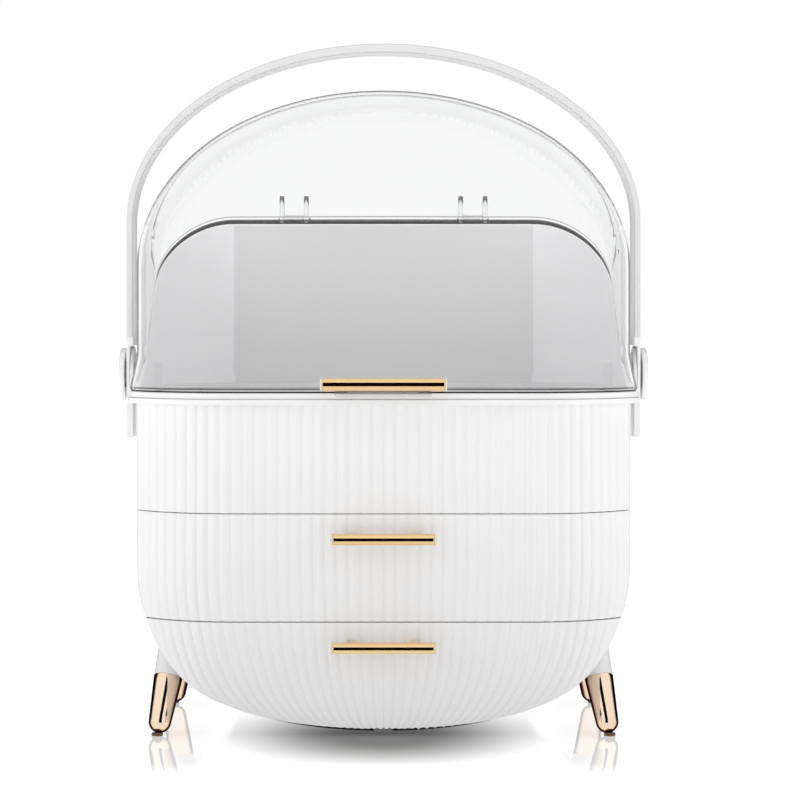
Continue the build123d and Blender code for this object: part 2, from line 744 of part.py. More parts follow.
with BuildPart() as foot_pads:
    for foot, root, outwards in legs.values():
        add(shaft(pad_radius, foot, (foot.X, foot.Y, pad_height + cap_tip_z)))
for name, (foot, root, outwards) in legs.items():
    axis = (root - foot).normalized()
    joint = on_axis(foot, root, cap_joint_z)
    top = root + axis * leg_reach_in
    with BuildPart() as leg:
        add(cone(leg_joint_radius, leg_top_radius, joint, top))
        add(outside, mode=Mode.SUBTRACT)
        add(shaft(spigot_radius, joint - axis * spigot_length,
                  joint + axis))
        add(shaft(screw_hole, root,
                  root + outwards * 2 * screw_bite), mode=Mode.SUBTRACT)
    save(leg, f"leg_{name}")
    with BuildPart() as cap:
        add(cone(cap_tip_radius, leg_joint_radius, on_axis(foot, root, cap_tip_z),
                 joint))
        fillet(cap.edges().filter_by(GeomType.CIRCLE).sort_by(Axis.Z)[0], cap_tip_round)
        add(shaft(spigot_radius + pin_play, joint - axis * (spigot_length + fit_gap),
                  joint), mode=Mode.SUBTRACT)
    save(cap, f"leg_cap_{name}")
    with foot_pads:
        add(cap.part, mode=Mode.SUBTRACT)
save(foot_pads, "foot_pads")

with BuildPart() as leg_screws:
    for foot, root, outwards in legs.values():
        add(screw(root - outwards * body_wall, outwards,
                  body_wall + 2 * screw_bite - fit_gap))
save(leg_screws, "leg_screws")
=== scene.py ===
import logging
import math
from dataclasses import dataclass, replace
from enum import Enum
from typing import Iterable, Sequence

import bmesh
import bpy
import numpy as np
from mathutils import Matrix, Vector


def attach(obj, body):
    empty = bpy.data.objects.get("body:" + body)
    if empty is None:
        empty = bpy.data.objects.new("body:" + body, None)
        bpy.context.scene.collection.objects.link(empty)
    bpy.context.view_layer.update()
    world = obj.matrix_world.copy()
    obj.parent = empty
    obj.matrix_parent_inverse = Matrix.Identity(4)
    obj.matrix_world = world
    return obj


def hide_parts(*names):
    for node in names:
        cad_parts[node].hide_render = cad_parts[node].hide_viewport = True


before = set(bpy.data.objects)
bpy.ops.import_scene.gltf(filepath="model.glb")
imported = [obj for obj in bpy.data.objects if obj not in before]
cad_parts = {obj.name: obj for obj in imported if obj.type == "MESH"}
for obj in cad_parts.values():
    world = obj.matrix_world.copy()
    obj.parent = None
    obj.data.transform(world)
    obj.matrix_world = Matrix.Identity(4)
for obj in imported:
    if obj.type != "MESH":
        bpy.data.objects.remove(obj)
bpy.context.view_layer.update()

logging.basicConfig(level=logging.INFO, format="%(message)s")
log = logging.getLogger("organizer")

MM = 0.001
Color = tuple[float, float, float]
Point = tuple[float, float]
Piece = bpy.types.Object
Node = bpy.types.Node
Tree = bpy.types.NodeTree
Socket = bpy.types.NodeSocket
Inputs = dict[str | int, object]


class Slot(Enum):
    """Material slots of the record that the pieces take their finish from."""

    WHITE = "white_plastic"
    GLOSS_WHITE = "white_gloss_plastic"
    INNER = "inner_plastic"
    CLEAR = "clear_plastic"
    GOLD = "gold_metal"
    PULL_CAP = "pull_cap_plastic"
    ROSE_GOLD = "rose_gold_plating"
    STEEL = "steel"
    RUBBER = "rubber"


# ------------------------------------------------------------------ body form
@dataclass(frozen=True)
class BodyForm:
    """Outer form of the body, in millimetres."""

    half_width: float = 140.0
    front_y: float = -85.3
    flat_half: float = 82.0
    corner_depth: float = 32.0
    belly_z: float = 4.0
    bowl_top_z: float = 98.0
    fullness: float = 0.664
    toe_depth: float = 28.0
    toe_height: float = 56.0

    def bowl(self, t: float | np.ndarray) -> tuple[float | np.ndarray, float | np.ndarray]:
        """Find a point of the curve that runs from the side down to the belly.

        Args:
            t: Place along the curve, 0 at the side and 1 at the belly.

        Returns:
            Its X and its Z.
        """
        u = 1 - t
        fall = self.fullness * (self.bowl_top_z - self.belly_z)
        x = self.half_width * (u ** 3 + 3 * t * u * u + 3 * self.fullness * t * t * u)
        z = (self.bowl_top_z * u ** 3 + 3 * (self.bowl_top_z - fall) * t * u * u
             + self.belly_z * (3 * t * t * u + t ** 3))
        return x, z

    def width_at(self, z: float) -> float:
        """Half width of the body at a height."""
        if z >= self.bowl_top_z:
            return self.half_width
        low, high = 0.0, 1.0
        for _ in range(50):
            t = (low + high) / 2
            low, high = (t, high) if self.bowl(t)[1] > z else (low, t)
        return self.bowl(low)[0]

    def corner_radius(self) -> float:
        """Plan radius of the front corners."""
        across = self.half_width - self.flat_half
        return (across ** 2 + self.corner_depth ** 2) / (2 * self.corner_depth)

    def depth_at(self, x: float, inset: float) -> float:
        """How far the outline, moved in by inset, lies behind the flat front at a place."""
        beyond = max(0.0, abs(x) - self.flat_half)
        radius = self.corner_radius() - inset
        return radius - math.sqrt(max(0.0, radius ** 2 - beyond ** 2))

    def toe_at(self, z: float) -> float:
        """How far the front has curved under at a height."""
        below = min(1.0, max(0.0, self.belly_z + self.toe_height - z) / self.toe_height)
        return self.toe_depth * (1 - math.sqrt(max(0.0, 1 - below ** 2)))


FORM = BodyForm()


# ------------------------------------------------------------------ node helpers
def feed(tree: Tree, node: Node, inputs: Inputs) -> Node:
    """Give the inputs of a node a socket to join or a plain value.

    Args:
        tree: The node's tree.
        node: Node to feed.
        inputs: What each input gets, by its name or number.

    Returns:
        The same node.
    """
    for label, value in inputs.items():
        if isinstance(value, Socket):
            tree.links.new(value, node.inputs[label])
        else:
            node.inputs[label].default_value = value
    return node


def add_node(tree: Tree, kind: str, inputs: Inputs | None = None, **settings: object) -> Node:
    """Add a node to a tree.

    Args:
        tree: Tree to add it to.
        kind: Type of the node.
        inputs: What each input gets, by its name or number.
        settings: Properties of the node.

    Returns:
        The node.
    """
    node = tree.nodes.new(kind)
    for name, value in settings.items():
        setattr(node, name, value)
    return feed(tree, node, inputs or {})


def math_node(tree: Tree, operation: str, *values: Socket | float) -> Socket:
    """Work out a number from others, each a socket or a plain number."""
    return add_node(tree, "ShaderNodeMath", dict(enumerate(values)),
                    operation=operation).outputs[0]


def add_noise(tree: Tree, place: Socket, scale: Socket | float, detail: float) -> Socket:
    """Add a noise texture, and give its strength."""
    return add_node(tree, "ShaderNodeTexNoise",
                    {"Vector": place, "Scale": scale, "Detail": detail}).outputs["Fac"]


def ramp(tree: Tree, value: Socket, start: Sequence[float],
         end: Sequence[Socket | float] = (0.0, 1.0), kind: str = "SMOOTHSTEP") -> Socket:
    """Map a value from one range to another.

    Args:
        tree: Tree to add the node to.
        value: Value to map.
        start: Range that it comes from.
        end: Range that it is mapped to.
        kind: Interpolation between the two ends.

    Returns:
        The mapped value.
    """
    labels = ("From Min", "From Max", "To Min", "To Max")
    limits = dict(zip(labels, (*start, *end)))
    return add_node(tree, "ShaderNodeMapRange", {"Value": value, **limits},
                    interpolation_type=kind).outputs["Result"]


def mix_color(tree: Tree, share: Socket, first: object, second: object) -> Socket:
    """Mix two colours, each a socket or a plain colour."""
    return add_node(tree, "ShaderNodeMix", {0: share, 6: first, 7: second},
                    data_type="RGBA").outputs[2]


def mix_shader(tree: Tree, share: Socket, first: Node, second: Node) -> Node:
    """Mix the first outputs of two shader nodes."""
    return add_node(tree, "ShaderNodeMixShader",
                    {0: share, 1: first.outputs[0], 2: second.outputs[0]})


def show(tree: Tree, shader: Node) -> None:
    """Make a shader node the surface of its material."""
    out = next(n for n in tree.nodes if n.type == "OUTPUT_MATERIAL")
    feed(tree, out, {"Surface": shader.outputs[0]})


def object_place(tree: Tree) -> Socket:
    """Give a material the coordinates of its piece's own space."""
    return tree.nodes.new("ShaderNodeTexCoord").outputs["Object"]


def shader_attribute(tree: Tree, name: str) -> Socket:
    """Read a named number of the mesh in a material."""
    return add_node(tree, "ShaderNodeAttribute", attribute_name=name).outputs["Fac"]


def named_attribute(tree: Tree, name: str, kind: str = "FLOAT") -> Socket:
    """Read a named value of the mesh in a Geometry Nodes tree."""
    return add_node(tree, "GeometryNodeInputNamedAttribute", {"Name": name},
                    data_type=kind).outputs["Attribute"]


# ------------------------------------------------------------------ shader node groups
def new_surface(name: str, colors: dict[str, Color], numbers: dict[str, float]
                ) -> tuple[Tree, bpy.types.NodeOutputs]:
    """Start a shader node group that gives a colour, a roughness and a height.

    Args:
        name: Name of the group.
        colors: Default of each colour that it takes.
        numbers: Default of each number that it takes.

    Returns:
        The group, and the sockets of what it takes.
    """
    group = bpy.data.node_groups.new(name, "ShaderNodeTree")
    face = group.interface
    for label, color in colors.items():
        socket = face.new_socket(label, in_out="INPUT", socket_type="NodeSocketColor")
        socket.default_value = (*color, 1.0)
    for label, number in numbers.items():
        socket = face.new_socket(label, in_out="INPUT", socket_type="NodeSocketFloat")
        socket.default_value = number
    face.new_socket("Color", in_out="OUTPUT", socket_type="NodeSocketColor")
    for label in ("Roughness", "Height"):
        face.new_socket(label, in_out="OUTPUT", socket_type="NodeSocketFloat")
    return group, group.nodes.new("NodeGroupInput").outputs


def end_surface(group: Tree, cloud: Socket, smear: Socket, height: Socket) -> Tree:
    """Join the outputs of a surface group.

    Args:
        group: The group, whose first two inputs are its colours.
        cloud: Share of the second colour.
        smear: Share of the high gloss value.
        height: Relief of the surface.

    Returns:
        The group.
    """
    given = next(n for n in group.nodes if n.type == "GROUP_INPUT").outputs
    add_node(group, "NodeGroupOutput", {
        "Color": mix_color(group, cloud, given[0], given[1]),
        "Roughness": ramp(group, smear, (0.0, 1.0), (given["Low Gloss"], given["High Gloss"]),
                          "LINEAR"),
        "Height": height})
    return group


def moulded_surface_group() -> Tree:
    """Build the group for moulded plastic: cloudy tint, gloss variation and fine skin."""
    group, given = new_surface(
        "Moulded surface", {"Color": (0.8, 0.8, 0.8), "Tint": (0.7, 0.7, 0.7)},
        {"Mottle Size": 18.0, "Skin Size": 900.0, "Low Gloss": 0.3, "High Gloss": 0.4})
    place = object_place(group)
    return end_surface(group, add_noise(group, place, given["Mottle Size"], 3.0),
                       add_noise(group, place, 55.0, 4.0),
                       add_noise(group, place, given["Skin Size"], 2.0))


def polished_surface_group() -> Tree:
    """Build the group for polished metal: hairlines along X and cloudy handling marks."""
    group, _ = new_surface(
        "Polished surface", {"Color": (0.8, 0.6, 0.3), "Worn Color": (0.7, 0.5, 0.3)},
        {"Low Gloss": 0.1, "High Gloss": 0.2})
    place = object_place(group)
    stretch = add_node(group, "ShaderNodeMapping",
                       {"Scale": (30.0, 2400.0, 2400.0), "Vector": place})
    marks = add_noise(group, place, 90.0, 3.0)
    return end_surface(group, marks, marks,
                       add_noise(group, stretch.outputs["Vector"], 1.0, 2.0))


MOULDED = moulded_surface_group()
POLISHED = polished_surface_group()


# ------------------------------------------------------------------ finishes
def new_material(name: str) -> tuple[bpy.types.Material, Tree, Node]:
    """Start a node material.

    Args:
        name: Name of the material.

    Returns:
        The material, its tree and its Principled shader.
    """
    material = bpy.data.materials.new(name)
    material.use_nodes = True
    tree = material.node_tree
    return material, tree, next(n for n in tree.nodes if n.type == "BSDF_PRINCIPLED")


def dress_shader(tree: Tree, surface: Node, shader: Node, depth: float, color: Socket) -> None:
    """Feed a shader from a surface group.

    Args:
        tree: The material's tree.
        surface: Node of the surface group.
        shader: Principled shader to feed.
        depth: Height of the surface's relief in millimetres.
        color: Colour of the surface.
    """
    bump = add_node(tree, "ShaderNodeBump", {"Strength": 1.0, "Distance": depth * MM,
                                             "Height": surface.outputs["Height"]})
    feed(tree, shader, {"Base Color": color, "Roughness": surface.outputs["Roughness"],
                        "Normal": bump.outputs["Normal"]})


@dataclass(frozen=True)
class PlasticFinish:
    """Opaque moulded plastic, with painted shade where the mesh's shade attribute says so and a
    painted shadow line along a groove.
    """

    name: str
    color: Color
    tint: Color
    low_gloss: float
    high_gloss: float
    skin_depth: float = 0.004
    skin_size: float = 500.0
    coat: float = 0.0
    coat_roughness: float = 0.08
    groove_z: float | None = None
    groove_shadow_width: float = 0.5
    groove_shadow_color: Color = (0.42, 0.42, 0.42)

    def build(self) -> bpy.types.Material:
        """Make the material.

        Returns:
            The material.
        """
        material, tree, shader = new_material(self.name)
        surface = add_node(tree, "ShaderNodeGroup", {
            "Color": (*self.color, 1.0), "Tint": (*self.tint, 1.0), "Skin Size": self.skin_size,
            "Low Gloss": self.low_gloss, "High Gloss": self.high_gloss}, node_tree=MOULDED)
        # Painted shade: the mesh's shade attribute darkens the colour towards black.
        color = mix_color(tree, shader_attribute(tree, "shade"), surface.outputs["Color"],
                          (0.0, 0.0, 0.0, 1.0))
        # Painted shadow line along the groove, in a darker grey.
        if self.groove_z is not None:
            color = mix_color(tree, self.groove(tree), color, (*self.groove_shadow_color, 1.0))
        dress_shader(tree, surface, shader, self.skin_depth, color)
        feed(tree, shader, {"Coat Weight": self.coat, "Coat Roughness": self.coat_roughness})
        return material

    def groove(self, tree: Tree) -> Socket:
        """Mask the painted shadow line in the fine groove between two steps of a moulding."""
        height = add_node(tree, "ShaderNodeSeparateXYZ",
                          {"Vector": object_place(tree)}).outputs["Z"]
        off = math_node(tree, "ABSOLUTE",
                        math_node(tree, "SUBTRACT", height, self.groove_z * MM))
        return math_node(tree, "LESS_THAN", off, self.groove_shadow_width * MM / 2)


@dataclass(frozen=True)
class MetalFinish:
    """Polished or plated metal, in another colour where it is seen edge on: a painted dark
    reflection.
    """

    name: str
    color: Color
    worn: Color
    low_gloss: float
    high_gloss: float
    hairline_depth: float = 0.002
    edge: Color | None = None
    edge_band: Point = (0.3, 0.5)

    def build(self) -> bpy.types.Material:
        """Make the material.

        Returns:
            The material.
        """
        material, tree, shader = new_material(self.name)
        surface = add_node(tree, "ShaderNodeGroup", {
            "Color": (*self.color, 1.0), "Worn Color": (*self.worn, 1.0),
            "Low Gloss": self.low_gloss, "High Gloss": self.high_gloss}, node_tree=POLISHED)
        color = surface.outputs["Color"]
        # Painted dark reflection at the sides, in the colour and in the specular tint.
        if self.edge:
            edge = (*self.edge, 1.0)
            facing = add_node(tree, "ShaderNodeLayerWeight", {"Blend": 0.5}).outputs["Facing"]
            color = mix_color(tree, ramp(tree, facing, self.edge_band), color, edge)
            shader.inputs["Specular Tint"].default_value = edge
        dress_shader(tree, surface, shader, self.hairline_depth, color)
        shader.inputs["Metallic"].default_value = 1.0
        return material


@dataclass(frozen=True)
class ClearFinish:
    """Clear plastic, with painted shade where its rounded front is seen edge on and painted dark
    lines along its rim.
    """

    name: str
    color: Color
    edge_on_shade_color: Color
    shade_color: Color
    roughness: float = 0.0
    ior: float = 1.45
    ripple_size: float = 14.0
    ripple: float = 0.01
    edge_band: Point = (0.5, 0.78)
    edge_reach: Point = (14.0, 24.0)
    line_width: float = 0.6
    line_reach: Point = (-40.0, 60.0)
    line_place: Point = (1.75, 2.2)
    line_strength: float = 0.85

    def build(self) -> bpy.types.Material:
        """Make the material.

        Returns:
            The material.
        """
        material, tree, shader = new_material(self.name)
        place = object_place(tree)
        bump = add_node(tree, "ShaderNodeBump", {
            "Strength": self.ripple, "Distance": MM,
            "Height": add_noise(tree, place, self.ripple_size, 1.0)})
        facing = add_node(tree, "ShaderNodeLayerWeight", {"Blend": 0.5}).outputs["Facing"]
        depth = add_node(tree, "ShaderNodeSeparateXYZ", {"Vector": place}).outputs["Y"]
        near = ramp(tree, depth, [(FORM.front_y + reach) * MM for reach in self.edge_reach],
                    (1.0, 0.0), "LINEAR")
        # Painted shade where the rounded front and the hinge ears are seen edge on.
        outline = math_node(tree, "MULTIPLY", ramp(tree, facing, self.edge_band),
                            math_node(tree, "MAXIMUM", near, shader_attribute(tree, "ear")))
        dark = math_node(tree, "MAXIMUM", outline, self.painted_edge_lines(tree, depth))
        feed(tree, shader, {
            "Base Color": mix_color(tree, dark, (*self.color, 1.0), (*self.edge_on_shade_color, 1.0)),
            "Roughness": self.roughness, "IOR": self.ior, "Transmission Weight": 1.0,
            "Normal": bump.outputs["Normal"]})
        see_through = add_node(tree, "ShaderNodeBsdfTransparent",
                               {"Color": (*self.shade_color, 1.0)})
        path = tree.nodes.new("ShaderNodeLightPath").outputs
        soft = math_node(tree, "MAXIMUM", path["Is Shadow Ray"], path["Is Diffuse Ray"])
        show(tree, mix_shader(tree, soft, shader, see_through))
        return material

    def painted_edge_lines(self, tree: Tree, depth: Socket) -> Socket:
        """Mask the two painted dark lines along the shell's lower edge.

        Args:
            tree: The material's tree.
            depth: Y of the point that is shaded.

        Returns:
            Mask of the lines.
        """
        away = math_node(tree, "SUBTRACT", EDGE_REACH, shader_attribute(tree, "near_edge"))
        middle = ramp(tree, depth, [y * MM for y in self.line_reach], self.line_place, "LINEAR")
        first = math_node(tree, "LESS_THAN", away, self.line_width)
        off = math_node(tree, "ABSOLUTE", math_node(tree, "SUBTRACT", away, middle))
        second = math_node(tree, "LESS_THAN", off, self.line_width / 2)
        return math_node(tree, "MAXIMUM", first,
                         math_node(tree, "MULTIPLY", second, self.line_strength))


EDGE_REACH = 20.0           # millimetres from the hood's lower edge that near_edge counts
FINISHES = {
    Slot.WHITE: PlasticFinish("satin_white", (0.88, 0.88, 0.885), (0.85, 0.85, 0.855), 0.32, 0.4),
    Slot.GLOSS_WHITE: PlasticFinish("gloss_white", (0.86, 0.86, 0.87), (0.83, 0.83, 0.84),
                                    0.16, 0.22, skin_depth=0.008, coat=0.4),
    Slot.INNER: PlasticFinish("inner_white", (0.80, 0.80, 0.81), (0.76, 0.76, 0.77), 0.45, 0.55,
                              skin_depth=0.03),
    Slot.CLEAR: ClearFinish("clear_acrylic", (0.968, 0.970, 0.973), (0.012, 0.012, 0.014),
                            (0.97, 0.97, 0.972)),
    Slot.GOLD: MetalFinish("polished_gold", (0.90, 0.66, 0.36), (0.84, 0.60, 0.32), 0.04, 0.07),
    Slot.PULL_CAP: PlasticFinish("pale_pull_cap", (0.80, 0.72, 0.60), (0.76, 0.68, 0.56),
                                 0.15, 0.22, skin_depth=0.005, coat=0.3),
    # The rose gold's edge colour is a painted dark reflection along the caps' sides.
    Slot.ROSE_GOLD: MetalFinish("rose_gold", (0.95, 0.76, 0.58), (0.92, 0.72, 0.54), 0.03, 0.06,
                                hairline_depth=0.002, edge=(0.10, 0.035, 0.012)),
    Slot.STEEL: MetalFinish("plain_steel", (0.55, 0.55, 0.56), (0.45, 0.45, 0.46), 0.25, 0.4),
    Slot.RUBBER: PlasticFinish("brown_rubber", (0.16, 0.085, 0.05), (0.12, 0.065, 0.04), 0.5, 0.65,
                               skin_depth=0.05),
}
MATERIALS = {slot: finish.build() for slot, finish in FINISHES.items()}
# A whiter white for the rear shell: painted light on its inner corner bands.
SHELL_WHITE_PAINTED_LIGHT = replace(FINISHES[Slot.WHITE], name="shell_white_painted_light", color=(0.95, 0.95, 0.955),
                      tint=(0.925, 0.925, 0.93)).build()
# Satin white with a painted shadow line along the rim's groove.
RIM_WHITE_GROOVE_SHADOW = replace(FINISHES[Slot.WHITE], name="rim_white_groove_shadow", groove_z=190.55).build()


# ------------------------------------------------------------------ mesh helpers
def new_piece(name: str, verts: Iterable[Iterable[float]],
              faces: Iterable[Iterable[int]]) -> Piece:
    """Make a mesh object.

    Args:
        name: Name of the piece.
        verts: Places of its vertices, in metres.
        faces: Vertex indices of its faces.

    Returns:
        The new object, at the origin.
    """
    mesh = bpy.data.meshes.new(name)
    mesh.from_pydata([tuple(v) for v in verts], [], [tuple(f) for f in faces])
    mesh.update()
    piece = bpy.data.objects.new(name, mesh)
    bpy.context.scene.collection.objects.link(piece)
    return piece


def smooth(piece: Piece, degrees: float = 32.0) -> None:
    """Shade a piece smooth, with edges sharper than an angle left sharp."""
    piece.data.shade_smooth()
    piece.data.set_sharp_from_angle(angle=math.radians(degrees))


def settle(piece: Piece, body: str, slot: Slot, node: str) -> None:
    """Give a piece its finish, its body and the node that it stands for.

    Args:
        piece: The finished piece.
        body: Body that it rides on.
        slot: Material slot that it takes its finish from.
        node: Node that it replaces.
    """
    piece.data.materials.clear()
    piece.data.materials.append(MATERIALS[slot])
    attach(piece, body)
    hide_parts(node)
    log.info("%s rides on %s, %d faces", piece.name, body, len(piece.data.polygons))


def mark(piece: Piece, name: str, values: Iterable[float], domain: str = "POINT") -> None:
    """Give each point or face of a piece a named number."""
    attribute = piece.data.attributes.new(name, "FLOAT", domain)
    attribute.data.foreach_set("value", list(values))


def apply_modifiers(piece: Piece) -> None:
    """Turn a piece with its modifiers into a plain mesh, and remove them."""
    graph = bpy.context.evaluated_depsgraph_get()
    graph.update()
    mesh = bpy.data.meshes.new_from_object(piece.evaluated_get(graph), depsgraph=graph)
    old = piece.data
    piece.modifiers.clear()
    piece.data = mesh
    mesh.name = piece.name
    bpy.data.meshes.remove(old)


def tube(name: str, verts: Sequence[Iterable[float]], ring: int) -> Piece:
    """Make a closed tube through rings of points, with flat ends.

    Args:
        name: Name of the piece.
        verts: Places of the points, ring after ring, in metres.
        ring: How many points a ring has.

    Returns:
        The piece, with its faces outwards.
    """
    last = len(verts) - ring
    faces = [(i + j, i + (j + 1) % ring, i + ring + (j + 1) % ring, i + ring + j)
             for i in range(0, last, ring) for j in range(ring)]
    faces += [tuple(range(ring)), tuple(range(last + ring - 1, last - 1, -1))]
    piece = new_piece(name, verts, faces)
    work = bmesh.new()
    work.from_mesh(piece.data)
    bmesh.ops.recalc_face_normals(work, faces=work.faces)
    work.to_mesh(piece.data)
    work.free()
    return piece


def extruded(name: str, profile: Sequence[Point], start: float, end: float,
             rounding: float) -> Piece:
    """Make a bar along X from a side view.

    Args:
        name: Name of the piece.
        profile: Y and Z of its corners, in millimetres.
        start: X of its one end.
        end: X of its other end.
        rounding: Width of the rounding of its edges.

    Returns:
        The piece.
    """
    inner = (start + 1.0, end - 1.0) if end - start > 4 else ()
    piece = tube(name, [(x * MM, y * MM, z * MM) for x in (start, *inner, end)
                        for y, z in profile], len(profile))
    round_edges(piece, rounding)
    smooth(piece)
    return piece


def lathe(name: str, profile: Sequence[Point], start: Sequence[float], axis: Sequence[float],
          segments: int) -> Piece:
    """Turn a profile around an axis.

    Args:
        name: Name of the piece.
        profile: Radius and distance along the axis of its points, in millimetres.
        start: Start of the axis.
        axis: Direction of the axis.
        segments: Segments around it.

    Returns:
        The piece.
    """
    way = Vector(axis).normalized()
    side = way.orthogonal().normalized()
    across = way.cross(side)
    turns = [2 * math.pi * i / segments for i in range(segments)]
    piece = tube(name, [(Vector(start) + way * along
                         + (side * math.cos(a) + across * math.sin(a)) * radius) * MM
                        for radius, along in profile for a in turns], segments)
    smooth(piece)
    return piece


def round_edges(piece: Piece, width: float) -> None:
    """Round the sharp edges of a piece by a width in millimetres."""
    bevel = piece.modifiers.new("rounded edges", "BEVEL")
    bevel.width = width * MM
    bevel.segments = 2
    bevel.limit_method = "ANGLE"
    bevel.angle_limit = math.radians(40)
    apply_modifiers(piece)


def softened(node: str, width: float, body: str, slot: Slot, below: float | None = None) -> Piece:
    """Make a piece from a node's solid with its edges rounded.

    Args:
        node: Node that the piece is made from, and replaces.
        width: Width of the rounding in millimetres.
        body: Body that the piece rides on.
        slot: Material slot that it takes its finish from.
        below: Height in millimetres above which the solid is left out.

    Returns:
        The new piece.
    """
    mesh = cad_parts[node].data.copy()
    mesh.name = f"{node}_skin"
    work = bmesh.new()
    work.from_mesh(mesh)
    bmesh.ops.remove_doubles(work, verts=work.verts, dist=2e-6)
    if below is not None:
        bmesh.ops.bisect_plane(work, geom=[*work.verts, *work.edges, *work.faces],
                               plane_co=(0.0, 0.0, below * MM), plane_no=(0.0, 0.0, 1.0),
                               clear_outer=True)
        bmesh.ops.holes_fill(work, edges=[e for e in work.edges if e.is_boundary])
    bmesh.ops.dissolve_limit(work, angle_limit=math.radians(0.3), verts=work.verts,
                             edges=work.edges)
    work.to_mesh(mesh)
    work.free()
    if mesh.attributes.get("custom_normal"):
        mesh.attributes.remove(mesh.attributes["custom_normal"])
    piece = bpy.data.objects.new(f"{node}_skin", mesh)
    bpy.context.scene.collection.objects.link(piece)
    if width:
        round_edges(piece, width)
    smooth(piece)
    weigh = piece.modifiers.new("face weighted normals", "WEIGHTED_NORMAL")
    weigh.keep_sharp = True
    weigh.weight = 80
    apply_modifiers(piece)
    settle(piece, body, slot, node)
    return piece


# ------------------------------------------------------------------ Geometry Nodes
def new_shape_tree(name: str, sizes: dict[str, float]) -> tuple[Tree, bpy.types.NodeOutputs]:
    """Start a Geometry Nodes tree that takes a shape, some sizes and a material.

    Args:
        name: Name of the tree.
        sizes: Default of each size that it takes.

    Returns:
        The tree, and the sockets of what it takes.
    """
    tree = bpy.data.node_groups.new(name, "GeometryNodeTree")
    face = tree.interface
    face.new_socket("Geometry", in_out="INPUT", socket_type="NodeSocketGeometry")
    for label, size in sizes.items():
        socket = face.new_socket(label, in_out="INPUT", socket_type="NodeSocketFloat")
        socket.default_value = size
    face.new_socket("Material", in_out="INPUT", socket_type="NodeSocketMaterial")
    face.new_socket("Geometry", in_out="OUTPUT", socket_type="NodeSocketGeometry")
    return tree, tree.nodes.new("NodeGroupInput").outputs


def end_shape_tree(tree: Tree, shape: Socket, material: Socket) -> Tree:
    """End a Geometry Nodes tree in Realize Instances and Set Material."""
    real = add_node(tree, "GeometryNodeRealizeInstances", {"Geometry": shape})
    dress = add_node(tree, "GeometryNodeSetMaterial",
                     {"Geometry": real.outputs["Geometry"], "Material": material})
    add_node(tree, "NodeGroupOutput", {"Geometry": dress.outputs["Geometry"]})
    return tree


def run_tree(piece: Piece, tree: Tree, values: dict[str, object]) -> None:
    """Run a Geometry Nodes tree on a piece, and leave a plain mesh.

    Args:
        piece: Piece to run it on.
        tree: The tree.
        values: Values of the tree's inputs, by name.
    """
    modifier = piece.modifiers.new(tree.name, "NODES")
    modifier.node_group = tree
    for item in tree.interface.items_tree:
        if item.item_type == "SOCKET" and item.in_out == "INPUT" and item.name in values:
            modifier[item.identifier] = values[item.name]
    apply_modifiers(piece)


def reed_tree() -> Tree:
    """Build the tree that raises reeds on a plain surface.

    The surface carries two attributes: across, which counts the reeds, and fade, which is
    1 where a reed is at full height and 0 where there is none.

    Returns:
        The tree.
    """
    tree, given = new_shape_tree("Reeds", {"Reed Depth": 0.9 * MM, "Fullness": 2.0})
    centred = math_node(tree, "SUBTRACT",
                        math_node(tree, "FRACT", named_attribute(tree, "across")), 0.5)
    spread = math_node(tree, "ABSOLUTE", math_node(tree, "MULTIPLY", centred, 2.0))
    rise = math_node(tree, "SUBTRACT", 1.0,
                     math_node(tree, "POWER", spread, given["Fullness"]))
    height = math_node(tree, "MULTIPLY",
                       math_node(tree, "MULTIPLY", rise, named_attribute(tree, "fade")),
                       given["Reed Depth"])
    normal = tree.nodes.new("GeometryNodeInputNormal").outputs["Normal"]
    offset = add_node(tree, "ShaderNodeVectorMath", {0: normal, "Scale": height},
                      operation="SCALE")
    move = add_node(tree, "GeometryNodeSetPosition", {"Geometry": given["Geometry"],
                                                      "Offset": offset.outputs["Vector"]})
    return end_shape_tree(tree, move.outputs["Geometry"], given["Material"])


